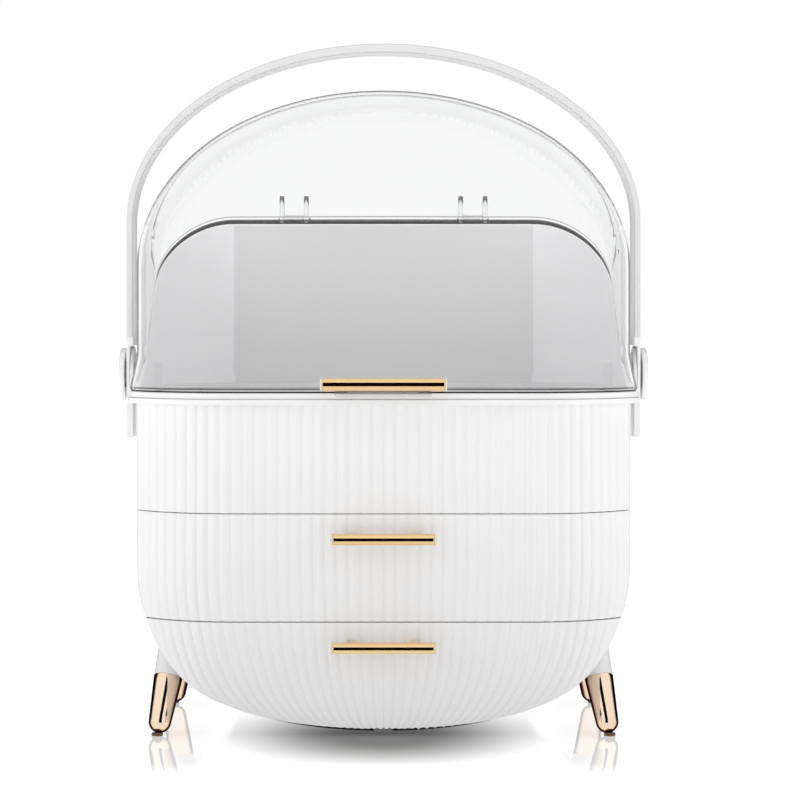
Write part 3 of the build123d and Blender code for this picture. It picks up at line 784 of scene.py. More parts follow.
def screw_tree() -> Tree:
    """Build the tree that puts a cross-slotted screw on each point.

    Each point carries the attribute way, the direction from the head into the hole.

    Returns:
        The tree.
    """
    sizes = {"Head Radius": 2.8, "Head Height": 1.6, "Shaft Radius": 1.5, "Shaft Length": 6.0,
             "Slot Width": 0.7, "Slot Depth": 0.8}
    tree, given = new_shape_tree("Screws", {label: size * MM for label, size in sizes.items()})
    head = add_node(tree, "GeometryNodeMeshCone", {
        "Vertices": 32, "Radius Bottom": math_node(tree, "MULTIPLY", given["Head Radius"], 0.72),
        "Radius Top": given["Head Radius"], "Depth": given["Head Height"]})
    cut = add_node(tree, "GeometryNodeMeshBoolean", operation="DIFFERENCE", solver="EXACT")
    feed(tree, cut, {"Mesh 1": head.outputs["Mesh"]})
    sides = (math_node(tree, "MULTIPLY", given["Head Radius"], 1.1), given["Slot Width"])
    deep = math_node(tree, "MULTIPLY", given["Slot Depth"], 2.0)
    for along, across in (sides, sides[::-1]):
        size = add_node(tree, "ShaderNodeCombineXYZ", {"X": along, "Y": across, "Z": deep})
        slot = add_node(tree, "GeometryNodeMeshCube", {"Size": size.outputs["Vector"]})
        feed(tree, cut, {"Mesh 2": slot.outputs["Mesh"]})
    shaft = add_node(tree, "GeometryNodeMeshCone", {
        "Vertices": 20, "Radius Bottom": given["Shaft Radius"],
        "Radius Top": math_node(tree, "MULTIPLY", given["Shaft Radius"], 0.8),
        "Depth": given["Shaft Length"]})
    rise = add_node(tree, "ShaderNodeCombineXYZ", {"Z": given["Head Height"]})
    lift = add_node(tree, "GeometryNodeTransform", {"Geometry": shaft.outputs["Mesh"],
                                                    "Translation": rise.outputs["Vector"]})
    whole = add_node(tree, "GeometryNodeJoinGeometry", {"Geometry": cut.outputs["Mesh"]})
    feed(tree, whole, {"Geometry": lift.outputs["Geometry"]})
    turn = add_node(tree, "FunctionNodeAlignEulerToVector",
                    {"Vector": named_attribute(tree, "way", "FLOAT_VECTOR")}, axis="Z")
    spread = add_node(tree, "GeometryNodeInstanceOnPoints", {
        "Points": given["Geometry"], "Instance": whole.outputs["Geometry"],
        "Rotation": turn.outputs["Rotation"]})
    return end_shape_tree(tree, spread.outputs["Instances"], given["Material"])


REEDS = reed_tree()
SCREWS = screw_tree()


# ------------------------------------------------------------------ reeded fronts
@dataclass
class ReededSkin:
    """Reeded wall of the front between two heights, creased at both sides."""

    name: str
    bottom: float
    top: float
    form: BodyForm = FORM
    reed_count: int = 46
    reed_depth: float = 0.9
    columns_per_reed: int = 10
    toe_rows: int = 44
    plain_rows: int = 9
    wall: float = 2.4
    edge_round: float = 0.5
    gather: float = 0.55
    run_off: float = 7.0

    def heights(self) -> list[Point]:
        """List the rows of the skin.

        Returns:
            Height of each row with how far it is drawn in to round the edge.
        """
        r = self.edge_round
        rounding = [(r * (1 - math.sin(math.radians(a))), r * (1 - math.cos(math.radians(a))))
                    for a in (0.0, 22.5, 45.0, 67.5, 90.0)]
        rows = [(self.top - drop, inset) for inset, drop in rounding]
        toe_top = self.form.belly_z + self.form.toe_height
        if self.bottom >= toe_top:
            rows += [(z, 0.0)
                     for z in np.linspace(self.top - 4, self.bottom + 4, self.plain_rows)]
            return rows + [(self.bottom + drop, inset) for inset, drop in reversed(rounding)]
        low = self.bottom + 0.05
        turns = (math.pi / 2 * i / self.toe_rows for i in range(1, self.toe_rows + 1))
        toe = (toe_top - self.form.toe_height * math.sin(turn) for turn in turns)
        return rows + [(z, 0.0) for z in toe if z > low + r] + [(low, 0.0)]

    def place(self, share: float, z: float) -> Color:
        """Find a point of the plain skin.

        Args:
            share: Place along the front's outline, from -1 at one crease to 1 at the other.
            z: Height of the point.

        Returns:
            Its X and Y, and how much of a reed's height it has.
        """
        form, depth = self.form, self.reed_depth
        radius = form.corner_radius() - depth
        turn = math.asin((form.half_width - form.flat_half) / form.corner_radius())
        along = abs(share) * (form.flat_half + radius * turn)
        full_x = along
        if along > form.flat_half:
            full_x = form.flat_half + radius * math.sin((along - form.flat_half) / radius)
        end_x = form.flat_half + radius * math.sin(turn)
        limit = form.width_at(z) - depth
        narrow = 1 - self.gather * (1 - form.width_at(z) / form.half_width)
        x, toe, fade = full_x * narrow, form.toe_at(z), 1.0
        if x <= limit or limit >= end_x * narrow:
            x = min(x, limit)
            back = self.meet(form.depth_at(x, depth), toe)
            if limit < end_x - 0.5:
                fade = min(1.0, max(0.0, (limit - x) / self.run_off))
        else:
            beyond = (x - limit) / (end_x * narrow - limit)
            start = self.meet(form.depth_at(limit, depth), toe)
            back = start + beyond * (form.corner_depth - start)
            x, fade = limit, 0.0
        y = form.front_y + min(depth + min(back, form.corner_depth), form.corner_depth)
        return math.copysign(x, share), y, fade

    @staticmethod
    def meet(first: float, second: float) -> float:
        """Blend two depths where the corner and the toe meet."""
        return (first ** 4 + second ** 4) ** 0.25

    def build(self) -> Piece:
        """Make the skin's mesh, with its reeds and its wall.

        Returns:
            The piece.
        """
        rows = self.heights()
        columns = self.reed_count * self.columns_per_reed
        wide = columns + 1
        shares = [2 * j / columns - 1 for j in range(wide)]
        points = [(*self.place(share, z), z) for z, _ in rows for share in shares]
        faces = [((i + 1) * wide + j, (i + 1) * wide + j + 1, i * wide + j + 1, i * wide + j)
                 for i in range(len(rows) - 1) for j in range(columns)]
        piece = new_piece(self.name, [(x * MM, y * MM, z * MM) for x, y, _, z in points], faces)
        mark(piece, "across", [(share + 1) / 2 * self.reed_count for _ in rows
                               for share in shares])
        mark(piece, "fade", [fade for _, _, fade, _ in points])
        run_tree(piece, REEDS, {"Reed Depth": self.reed_depth * MM, "Fullness": 2.0,
                                "Material": MATERIALS[Slot.WHITE]})
        self.draw_in(piece, [inset for _, inset in rows for _ in shares])
        thick = piece.modifiers.new("wall", "SOLIDIFY")
        thick.thickness = self.wall * MM
        thick.offset = -1.0
        apply_modifiers(piece)
        smooth(piece, 38.0)
        return piece

    @staticmethod
    def draw_in(piece: Piece, insets: Sequence[float]) -> None:
        """Draw the top and bottom rows in along their normals, which rounds the edges.

        Args:
            piece: Piece with one vertex for each place of the grid.
            insets: How far each vertex goes in, in millimetres.
        """
        vertices = piece.data.vertices
        normals = [v.normal.copy() for v in vertices]
        for vertex, normal, inset in zip(vertices, normals, insets):
            vertex.co -= normal * inset * MM
        piece.data.update()


# ------------------------------------------------------------------ clear hood
@dataclass(frozen=True)
class HoodForm:
    """Outer form of the hood, in millimetres, as a signed distance."""

    back_y: float = 96.7
    rear_corner: float = 48.0
    arch_z: float = 263.4
    arch_rise: float = 99.6
    front_round: float = 14.0
    rear_round: float = 12.0
    bottom_z: float = 194.0
    flare_top_z: float = 215.0
    flare_out: float = 4.2
    flare_curve: float = 1.2
    parting: tuple[tuple[float, float], ...] = ((-55.3, 194.1), (25.7, 237.4), (96.7, 293.4))

    def plan(self, x: np.ndarray, y: np.ndarray) -> tuple[np.ndarray, np.ndarray]:
        """Distance outside the plan outline, and how far that points sideways.

        Args:
            x: Distances from the middle plane.
            y: Places along the depth.

        Returns:
            Signed distances, and X parts of the outline's normals.
        """
        radius = FORM.corner_radius()
        centre_y = FORM.front_y + radius
        reach = np.maximum(np.hypot(x - FORM.flat_half, y - centre_y), 1e-6)
        on_arc = x > FORM.flat_half
        front = np.where(on_arc, np.where(y < centre_y, reach - radius, -radius),
                         FORM.front_y - y)
        front_way = np.where(on_arc, (x - FORM.flat_half) / reach, 0.0)
        side = x - FORM.half_width
        inner_x = FORM.half_width - self.rear_corner
        inner_y = self.back_y - self.rear_corner
        spread = np.maximum(np.hypot(x - inner_x, y - inner_y), 1e-6)
        in_corner = (x > inner_x) & (y > inner_y)
        rear = np.where(in_corner, spread - self.rear_corner, y - self.back_y)
        rear_way = np.where(in_corner, (x - inner_x) / spread, 0.0)
        both = np.stack([front, side, rear])
        ways = np.stack([front_way, np.ones_like(x), rear_way])
        pick = both.argmax(0)
        return (np.take_along_axis(both, pick[None], 0)[0],
                np.take_along_axis(ways, pick[None], 0)[0])

    def distance(self, points: np.ndarray, inset: float) -> np.ndarray:
        """Signed distance of points from the form moved inwards by inset."""
        x, y, z = np.abs(points[..., 0]), points[..., 1], points[..., 2]
        share = np.clip((self.flare_top_z - z) / (self.flare_top_z - self.bottom_z), 0, 1)
        flare = self.flare_out * share ** self.flare_curve
        plan, plan_way = self.plan(x, y)
        above = np.maximum(z - self.arch_z, 0.0)
        wide, rise = FORM.half_width - inset, self.arch_rise - inset
        girth = np.maximum(np.hypot(x / wide, above / rise), 1e-6)
        slope = np.maximum(np.hypot(x / wide ** 2, above / rise ** 2) / girth, 1e-6)
        arch = (girth - 1) / slope
        arch_way = x / wide ** 2 / girth / slope
        rounding = np.where(y < 0, self.front_round, self.rear_round) - inset
        rounding = rounding * (1 - np.clip(plan_way * arch_way, 0, 1) ** 2) + 1e-3
        u = plan + inset - flare + rounding
        v = arch - flare + rounding
        return (np.minimum(np.maximum(u, v), 0)
                + np.hypot(np.maximum(u, 0), np.maximum(v, 0)) - rounding)

    def cut_height(self, y: np.ndarray) -> np.ndarray:
        """Height of the hood's lower edge at places along the depth."""
        (y1, z1), (y2, z2), (y3, z3) = self.parting
        chord = np.array([[y2 - y1, z2 - z1], [y3 - y1, z3 - z1]])
        half = np.array([y2 ** 2 - y1 ** 2 + z2 ** 2 - z1 ** 2,
                         y3 ** 2 - y1 ** 2 + z3 ** 2 - z1 ** 2]) / 2
        cy, cz = np.linalg.solve(chord, half)
        radius = math.hypot(y1 - cy, z1 - cz)
        way = 1.0 if z2 > cz else -1.0
        inside = np.clip(y, y1, y3)
        arc = cz + way * np.sqrt(np.maximum(radius ** 2 - (inside - cy) ** 2, 0))
        return np.where(y < y1, self.bottom_z, arc)


@dataclass
class ClearHood:
    """Hood's shell with its tab, bosses and hinge ears."""

    form: HoodForm = HoodForm()
    wall: float = 2.0
    columns: int = 296
    rows: int = 150
    middle: tuple[float, float, float] = (0.0, 5.7, 232.0)
    edge_rows: tuple[float, ...] = (0.0, 0.35, 0.7, 1.1, 2.0, 2.4, 2.8, 3.3, 3.8, 4.4, 5.4)
    bisections: int = 36
    tab_half_width: float = 26.5
    tab_profile: tuple[Point, ...] = ((-97.3, 192.5), (-90.9, 192.5), (-90.9, 194.3),
                                      (-88.6, 194.3), (-88.6, 195.5), (-97.3, 195.5))
    boss_profile: tuple[Point, ...] = ((1.6, 0.0), (3.9, 0.0), (4.2, 0.3), (4.2, 1.8),
                                       (3.9, 2.1), (1.6, 2.1))
    boss_place: Color = (23.0, -87.6, 199.2)
    ear_middles: tuple[float, ...] = (-62.5, -47.5, 47.5, 62.5)
    ear_half: float = 1.5
    ear_radius: float = 4.18
    ear_height: float = 16.0
    ear_root_y: float = 95.7
    hinge: Point = (101.3, 293.0)

    def cast(self, turn: np.ndarray, tilt: np.ndarray, inset: float) -> np.ndarray:
        """Find where rays from the middle leave the form.

        Args:
            turn: Directions in plan.
            tilt: Directions upwards.
            inset: How far the form is moved inwards.

        Returns:
            Points of the form.
        """
        ray = np.stack([np.cos(turn) * np.cos(tilt), np.sin(turn) * np.cos(tilt),
                        np.sin(tilt)], -1)
        low, high = np.full(turn.shape, 20.0), np.full(turn.shape, 320.0)
        for _ in range(self.bisections):
            half = (low + high) / 2
            out = self.form.distance(self.middle + ray * half[..., None], inset) > 0
            low, high = np.where(out, low, half), np.where(out, half, high)
        return self.middle + ray * ((low + high) / 2)[..., None]

    def grid(self, inset: float) -> tuple[np.ndarray, np.ndarray]:
        """Make the points of one surface of the shell.

        Args:
            inset: How far it lies inside the outer form.

        Returns:
            Points by row and column, and their distances from the lower edge.
        """
        turn = np.linspace(0, 2 * math.pi, self.columns, endpoint=False)
        low, high = np.full(turn.shape, -0.6), np.full(turn.shape, 1.2)
        for _ in range(self.bisections):
            half = (low + high) / 2
            points = self.cast(turn, half, inset)
            over = points[:, 2] > self.form.cut_height(points[:, 1])
            low, high = np.where(over, low, half), np.where(over, half, high)
        start = (low + high) / 2
        reach = np.linalg.norm(self.cast(turn, start, inset) - np.array(self.middle), axis=1)
        offsets = [step / reach for step in self.edge_rows]
        share = np.linspace(0, 1, self.rows - len(offsets) + 1)[1:]
        last = math.radians(89.6)
        tilt = np.array([start + step for step in offsets]
                        + [(start + offsets[-1]) * (1 - t) + last * t for t in share])
        return self.cast(np.broadcast_to(turn, tilt.shape), tilt, inset), (tilt - start) * reach

    def normals(self, points: np.ndarray, inset: float) -> np.ndarray:
        """Outward normals of the form at points of it."""
        shifts = np.eye(3) * 0.02
        normal = np.stack([self.form.distance(points + shift, inset)
                           - self.form.distance(points - shift, inset) for shift in shifts], -1)
        return normal / np.maximum(np.linalg.norm(normal, axis=-1, keepdims=True), 1e-9)

    def build(self) -> None:
        """Make the shell and the small forms on it."""
        verts, normals, near, faces, rims = [], [], [], [], []
        crown_z = self.form.arch_z + self.form.arch_rise
        for inset, way in ((0.0, 1), (self.wall, -1)):
            points, away = self.grid(inset)
            base, (count, wide) = len(verts), points.shape[:2]
            verts += (points.reshape(-1, 3) * MM).tolist()
            verts.append([0.0, self.middle[1] * MM, (crown_z - inset) * MM])
            normals += (way * self.normals(points, inset)).reshape(-1, 3).tolist()
            normals.append([0.0, 0.0, float(way)])
            near += [*np.maximum(EDGE_REACH - away, 0).ravel().tolist(), 0.0]
            top = base + count * wide
            sheet = [(base + i * wide + j, base + i * wide + (j + 1) % wide,
                      base + (i + 1) * wide + (j + 1) % wide, base + (i + 1) * wide + j)
                     for i in range(count - 1) for j in range(wide)]
            sheet += [(top - wide + j, top - wide + (j + 1) % wide, top) for j in range(wide)]
            faces += [face[::way] for face in sheet]
            rims.append(range(base, base + wide))
        rounded = len(faces)
        outer, inner = rims
        faces += [(outer[j - 1], inner[j - 1], inner[j], outer[j]) for j in range(len(outer))]
        piece = new_piece("hood_shell", verts, faces)
        piece.data.shade_smooth()
        piece.data.normals_split_custom_set([
            normals[vertex] if polygon.index < rounded else tuple(polygon.normal)
            for polygon in piece.data.polygons for vertex in polygon.vertices])
        # Distance from the lower edge, which places the painted dark edge lines.
        mark(piece, "near_edge", near)
        settle(piece, "hood", Slot.CLEAR, "hood")
        self.add_tab()
        self.add_ears()

    def add_tab(self) -> None:
        """Make the lifting tab at the front and the bosses behind the pull."""
        tab = extruded("hood_tab", self.tab_profile, -self.tab_half_width, self.tab_half_width,
                       0.35)
        settle(tab, "hood", Slot.CLEAR, "hood")
        x, y, z = self.boss_place
        for side in (-1, 1):
            boss = lathe(f"hood_boss_{side}", self.boss_profile, (side * x, y, z),
                         (0.0, 1.0, 0.0), 40)
            settle(boss, "hood", Slot.CLEAR, "hood")

    def add_ears(self) -> None:
        """Make the four hinge ears."""
        (axis_y, axis_z), radius = self.hinge, self.ear_radius
        profile = [(self.ear_root_y, axis_z + self.ear_height), (self.ear_root_y, axis_z + 0.9)]
        profile += [(axis_y + radius * math.cos(a), axis_z + radius * math.sin(a))
                    for a in np.linspace(math.radians(205), math.radians(397), 22)]
        for middle in self.ear_middles:
            ear = extruded(f"hood_ear_{middle:.0f}", profile, middle - self.ear_half,
                           middle + self.ear_half, 0.4)
            # Marks the ear for the painted edge-on shade of the clear finish.
            mark(ear, "ear", [1.0] * len(ear.data.vertices))
            settle(ear, "hood", Slot.CLEAR, "hood")


# ------------------------------------------------------------------ screws
@dataclass
class ScrewSet:
    """Screws of one node, found from their solids."""

    node: str
    body: str
    head_height: float = 1.6

    def places(self) -> list[tuple[Vector, Vector, float]]:
        """Find the screws of the node.

        Returns:
            For each screw its head's top, its way in and its shaft's length, in metres.
        """
        work = bmesh.new()
        work.from_mesh(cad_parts[self.node].data)
        bmesh.ops.remove_doubles(work, verts=work.verts, dist=2e-6)
        seen: set[int] = set()
        found = []
        for start in work.verts:
            if start.index in seen:
                continue
            island, queue = [], [start]
            seen.add(start.index)
            while queue:
                vert = queue.pop()
                island.append(np.array(vert.co))
                for edge in vert.link_edges:
                    other = edge.other_vert(vert)
                    if other.index not in seen:
                        seen.add(other.index)
                        queue.append(other)
            found.append(self.measure(np.array(island)))
        work.free()
        return found

    def measure(self, points: np.ndarray) -> tuple[Vector, Vector, float]:
        """Measure one screw.

        Args:
            points: Its vertices.

        Returns:
            Its head's top, its way in and its shaft's length, in metres.
        """
        middle = (points.max(0) + points.min(0)) / 2
        ends = np.unique(np.round(points, 7), axis=0)
        _, _, axes = np.linalg.svd(ends - ends.mean(0))
        axis = axes[0]
        along = (ends - middle) @ axis
        radial = np.linalg.norm((ends - middle) - np.outer(along, axis), axis=1)
        low, high = radial[along < along.min() + 2e-4], radial[along > along.max() - 2e-4]
        if high.max() > low.max():
            axis, along = -axis, -along
        centre = ends.mean(0) - axis * along.mean()
        top = centre + axis * along.min()
        length = along.max() - along.min() - self.head_height * MM
        return Vector(top), Vector(axis), float(length)

    def build(self) -> None:
        """Make the screws, as one piece for the node."""
        places = self.places()
        piece = new_piece(f"{self.node}_detailed", [top for top, _, _ in places], [])
        way = piece.data.attributes.new("way", "FLOAT_VECTOR", "POINT")
        way.data.foreach_set("vector", [c for _, axis, _ in places for c in axis])
        run_tree(piece, SCREWS, {"Head Height": self.head_height * MM,
                                 "Shaft Length": min(length for _, _, length in places),
                                 "Material": MATERIALS[Slot.STEEL]})
        smooth(piece)
        settle(piece, self.body, Slot.STEEL, self.node)


# ------------------------------------------------------------------ sub-assemblies
@dataclass
class Body:
    """Body shell with its shelf, rim, rails and screws."""

    edge_round: float = 0.5

    def build(self) -> None:
        """Make the pieces of the body."""
        softened("body_shell", 0.0, "root", Slot.WHITE)
        rim = softened("top_rim", self.edge_round, "root", Slot.WHITE)
        # The rim takes the satin white with a painted shadow line at its step.
        rim.data.materials[0] = RIM_WHITE_GROOVE_SHADOW
        softened("drawer_shelf", 0.0, "root", Slot.INNER)
        for drawer in ("upper", "lower"):
            softened(f"{drawer}_drawer_rails", 0.3, "root", Slot.INNER)
        for node in ("bracket_screws", "leg_screws"):
            ScrewSet(node, "root").build()


@dataclass
class Pull:
    """Pull bar with its end caps and posts."""

    label: str
    body: str
    length: float
    height: float
    front_y: float
    z: float
    depth: float = 6.4
    cap: float = 1.2
    squareness: float = 3.4

    def section(self) -> list[Point]:
        """Make the bar's rounded section.

        Returns:
            Y and Z of its points.
        """
        middle_y, power = self.front_y + self.depth / 2, 2 / self.squareness
        points = []
        for i in range(64):
            c, d = math.cos(2 * math.pi * i / 64), math.sin(2 * math.pi * i / 64)
            points.append((middle_y + self.depth / 2 * math.copysign(abs(c) ** power, c),
                           self.z + self.height / 2 * math.copysign(abs(d) ** power, d)))
        return points

    def build(self) -> None:
        """Make the pieces of the pull."""
        end = self.length / 2
        inner = end - self.cap
        section = self.section()
        bar = extruded(f"{self.label}_bar_rounded", section, -inner, inner, 0.05)
        settle(bar, self.body, Slot.GOLD, f"{self.label}_bar")
        for side in (-1, 1):
            cap = extruded(f"{self.label}_cap_{side}", section,
                           *sorted((side * inner, side * end)), 0.3)
            settle(cap, self.body, Slot.PULL_CAP, f"{self.label}_end_caps")
        softened(f"{self.label}_posts", 0.0, self.body, Slot.GOLD)
        ScrewSet(f"{self.label}_screws", self.body).build()


@dataclass
class Drawer:
    """Drawer with its reeded front, box, pull and screws."""

    label: str
    bottom: float
    top: float
    pull_z: float

    def build(self) -> None:
        """Make the pieces of the drawer."""
        body = f"{self.label}_drawer"
        front = ReededSkin(f"{self.label}_reeded_front", self.bottom, self.top).build()
        settle(front, body, Slot.WHITE, f"{body}_front")
        softened(f"{body}_box", 0.4, body, Slot.INNER)
        Pull(f"{self.label}_pull", body, 58.4, 6.3, -101.3, self.pull_z).build()
        ScrewSet(f"{self.label}_front_screws", body).build()


@dataclass
class Cover:
    """Clear hood on its hinges, and the rear shell that carries it."""

    outer_shade: float = 0.075
    flat_shade: float = 0.15
    flat_half: float = 91.0
    middle_y: float = 5.7

    def build(self) -> None:
        """Make the pieces of the cover."""
        ClearHood().build()
        shell = softened("rear_shell", 0.5, "root", Slot.WHITE)
        shell.data.materials[0] = SHELL_WHITE_PAINTED_LIGHT
        # Painted shade on the rear shell: the flat back inside is darkened, and the outer faces
        # are darkened back to the body's white.
        shades = []
        for face in shell.data.polygons:
            x, y, _ = face.center
            out = face.normal.x * x + face.normal.y * (y - self.middle_y * MM)
            flat = abs(x) < self.flat_half * MM and face.normal.y < -0.9
            shades.append(self.outer_shade if out > 0 else self.flat_shade if flat else 0.0)
        mark(shell, "shade", shades, "FACE")
        softened("hinge_pins", 0.2, "root", Slot.STEEL)
        Pull("hood_pull", "hood", 70.0, 7.2, -105.5, 199.2).build()


@dataclass
class Handle:
    """Carrying handle with its pivots and side brackets."""

    edge_round: float = 0.7
    inner_x: float = 145.6
    thickness: float = 3.6
    crown_thickness: float = 5.0
    width: float = 32.0
    arch_z: float = 290.5
    arch_rise: float = 103.68
    middle_y: float = 5.7
    joint_z: float = 224.0
    edge_shade: float = 0.16
    line_shade: float = 0.3

    def add_strap(self) -> None:
        """Make the strap above its ends, with rounded edges and painted shade."""
        outer_x = self.inner_x + self.thickness
        heights = np.linspace(self.joint_z, self.arch_z - 2, 14)
        path = [((-self.inner_x, z), (-outer_x, z)) for z in heights]
        path += [((self.inner_x * math.cos(a),
                   self.arch_z + (self.arch_rise - self.crown_thickness) * math.sin(a)),
                  (outer_x * math.cos(a), self.arch_z + self.arch_rise * math.sin(a)))
                 for a in np.linspace(math.pi, 0, 121)]
        path += [((self.inner_x, z), (outer_x, z)) for z in heights[::-1]]
        verts = []
        for (ix, iz), (ox, oz) in path:
            across = math.hypot(ox - ix, oz - iz)
            ux, uz = (ox - ix) / across, (oz - iz) / across
            verts += [((ix + ux * d) * MM, (self.middle_y + y) * MM, (iz + uz * d) * MM)
                      for d, y in self.section(across)]
        strap = tube("handle_strap", verts, len(verts) // len(path))
        smooth(strap)
        # Painted shade: darker front and back faces, and darker lines along the rounded edges.
        mark(strap, "shade", [self.edge_shade if abs(f.normal.y) > 0.98 else
                              self.line_shade if abs(f.normal.y) > 0.1 else 0.0
                              for f in strap.data.polygons], "FACE")
        settle(strap, "handle", Slot.WHITE, "handle")

    def section(self, thick: float) -> list[Point]:
        """Make the strap's section with its rounded edges.

        Args:
            thick: Thickness of the strap.

        Returns:
            Place through the thickness and across the width of the section's points.
        """
        half, r = self.width / 2, self.edge_round
        corners = ((thick - r, half - r, 0.0), (r, half - r, 90.0), (r, r - half, 180.0),
                   (thick - r, r - half, 270.0))
        return [(d + r * math.cos(math.radians(start + 22.5 * i)),
                 y + r * math.sin(math.radians(start + 22.5 * i)))
                for d, y, start in corners for i in range(5)]

    def build(self) -> None:
        """Make the pieces of the handle."""
        self.add_strap()
        ends = softened("handle", 0.4, "handle", Slot.WHITE, below=self.joint_z)
        ends.name = "handle_ends"
        for hand in ("left", "right"):
            softened(f"pivot_cap_{hand}", 0.3, "handle", Slot.GLOSS_WHITE)
            softened(f"side_bracket_{hand}", self.edge_round, "root", Slot.WHITE)
        softened("pivot_clips", 0.0, "handle", Slot.STEEL)


@dataclass
class Legs:
    """Four splayed legs with plated caps and rubber pads."""

    foot_x: float = 127.5
    foot_y: Point = (-61.3, 72.7)
    root_y: Point = (-42.3, 53.7)
    root_share: float = 0.32
    joint_z: float = 31.0
    joint_radius: float = 8.2
    tip_radius: float = 6.4
    tip_z: float = 1.0
    pad_radius: float = 3.3
    pad_top: float = 1.7
    pad_round: float = 0.4

    def root(self) -> Point:
        """Find where the legs meet the bowl.

        Returns:
            X and Z of that point.
        """
        x, z = FORM.bowl(np.linspace(0, 1, 4001))
        length = np.concatenate([[0.0], np.cumsum(np.hypot(np.diff(x), np.diff(z)))])
        index = int(np.searchsorted(length, self.root_share * length[-1]))
        return float(x[index]), float(z[index])

    def cap_profile(self, axis_z: float) -> list[Point]:
        """Make the profile of a cap with its ball-shaped tip.

        Args:
            axis_z: Upward part of the leg's direction.

        Returns:
            Radius and distance along the leg of the profile's points.
        """
        centre = (self.tip_z + self.tip_radius) / axis_z
        ball = [(self.tip_radius * math.sin(a), centre - self.tip_radius * math.cos(a))
                for a in np.linspace(0.02, math.radians(86), 18)]
        joint = self.joint_z / axis_z
        taper = [(ball[-1][0] + (self.joint_radius - ball[-1][0]) * t,
                  ball[-1][1] + (joint - ball[-1][1]) * t) for t in np.linspace(0.1, 0.985, 10)]
        return ball + taper + [(self.joint_radius - 0.15, joint - 0.05), (0.1, joint)]

    def build(self) -> None:
        """Make the pieces of the legs."""
        root_x, root_z = self.root()
        rim = self.pad_radius - self.pad_round
        pad_profile = [(rim, 0.0), (self.pad_radius, self.pad_round),
                       (self.pad_radius, self.pad_top - 0.5), (rim, self.pad_top)]
        for row, foot_y, root_y in zip(("front", "rear"), self.foot_y, self.root_y):
            for hand, side in (("left", -1), ("right", 1)):
                leg = f"{row}_{hand}"
                softened(f"leg_{leg}", 0.3, "root", Slot.GLOSS_WHITE)
                foot = Vector((side * self.foot_x, foot_y, 0.0))
                axis = (Vector((side * root_x, root_y, root_z)) - foot).normalized()
                cap = lathe(f"leg_cap_{leg}_turned", self.cap_profile(axis.z), foot, axis, 56)
                settle(cap, "root", Slot.ROSE_GOLD, f"leg_cap_{leg}")
                pad = lathe(f"foot_pad_{leg}", pad_profile, foot, (0.0, 0.0, 1.0), 32)
                settle(pad, "root", Slot.RUBBER, "foot_pads")


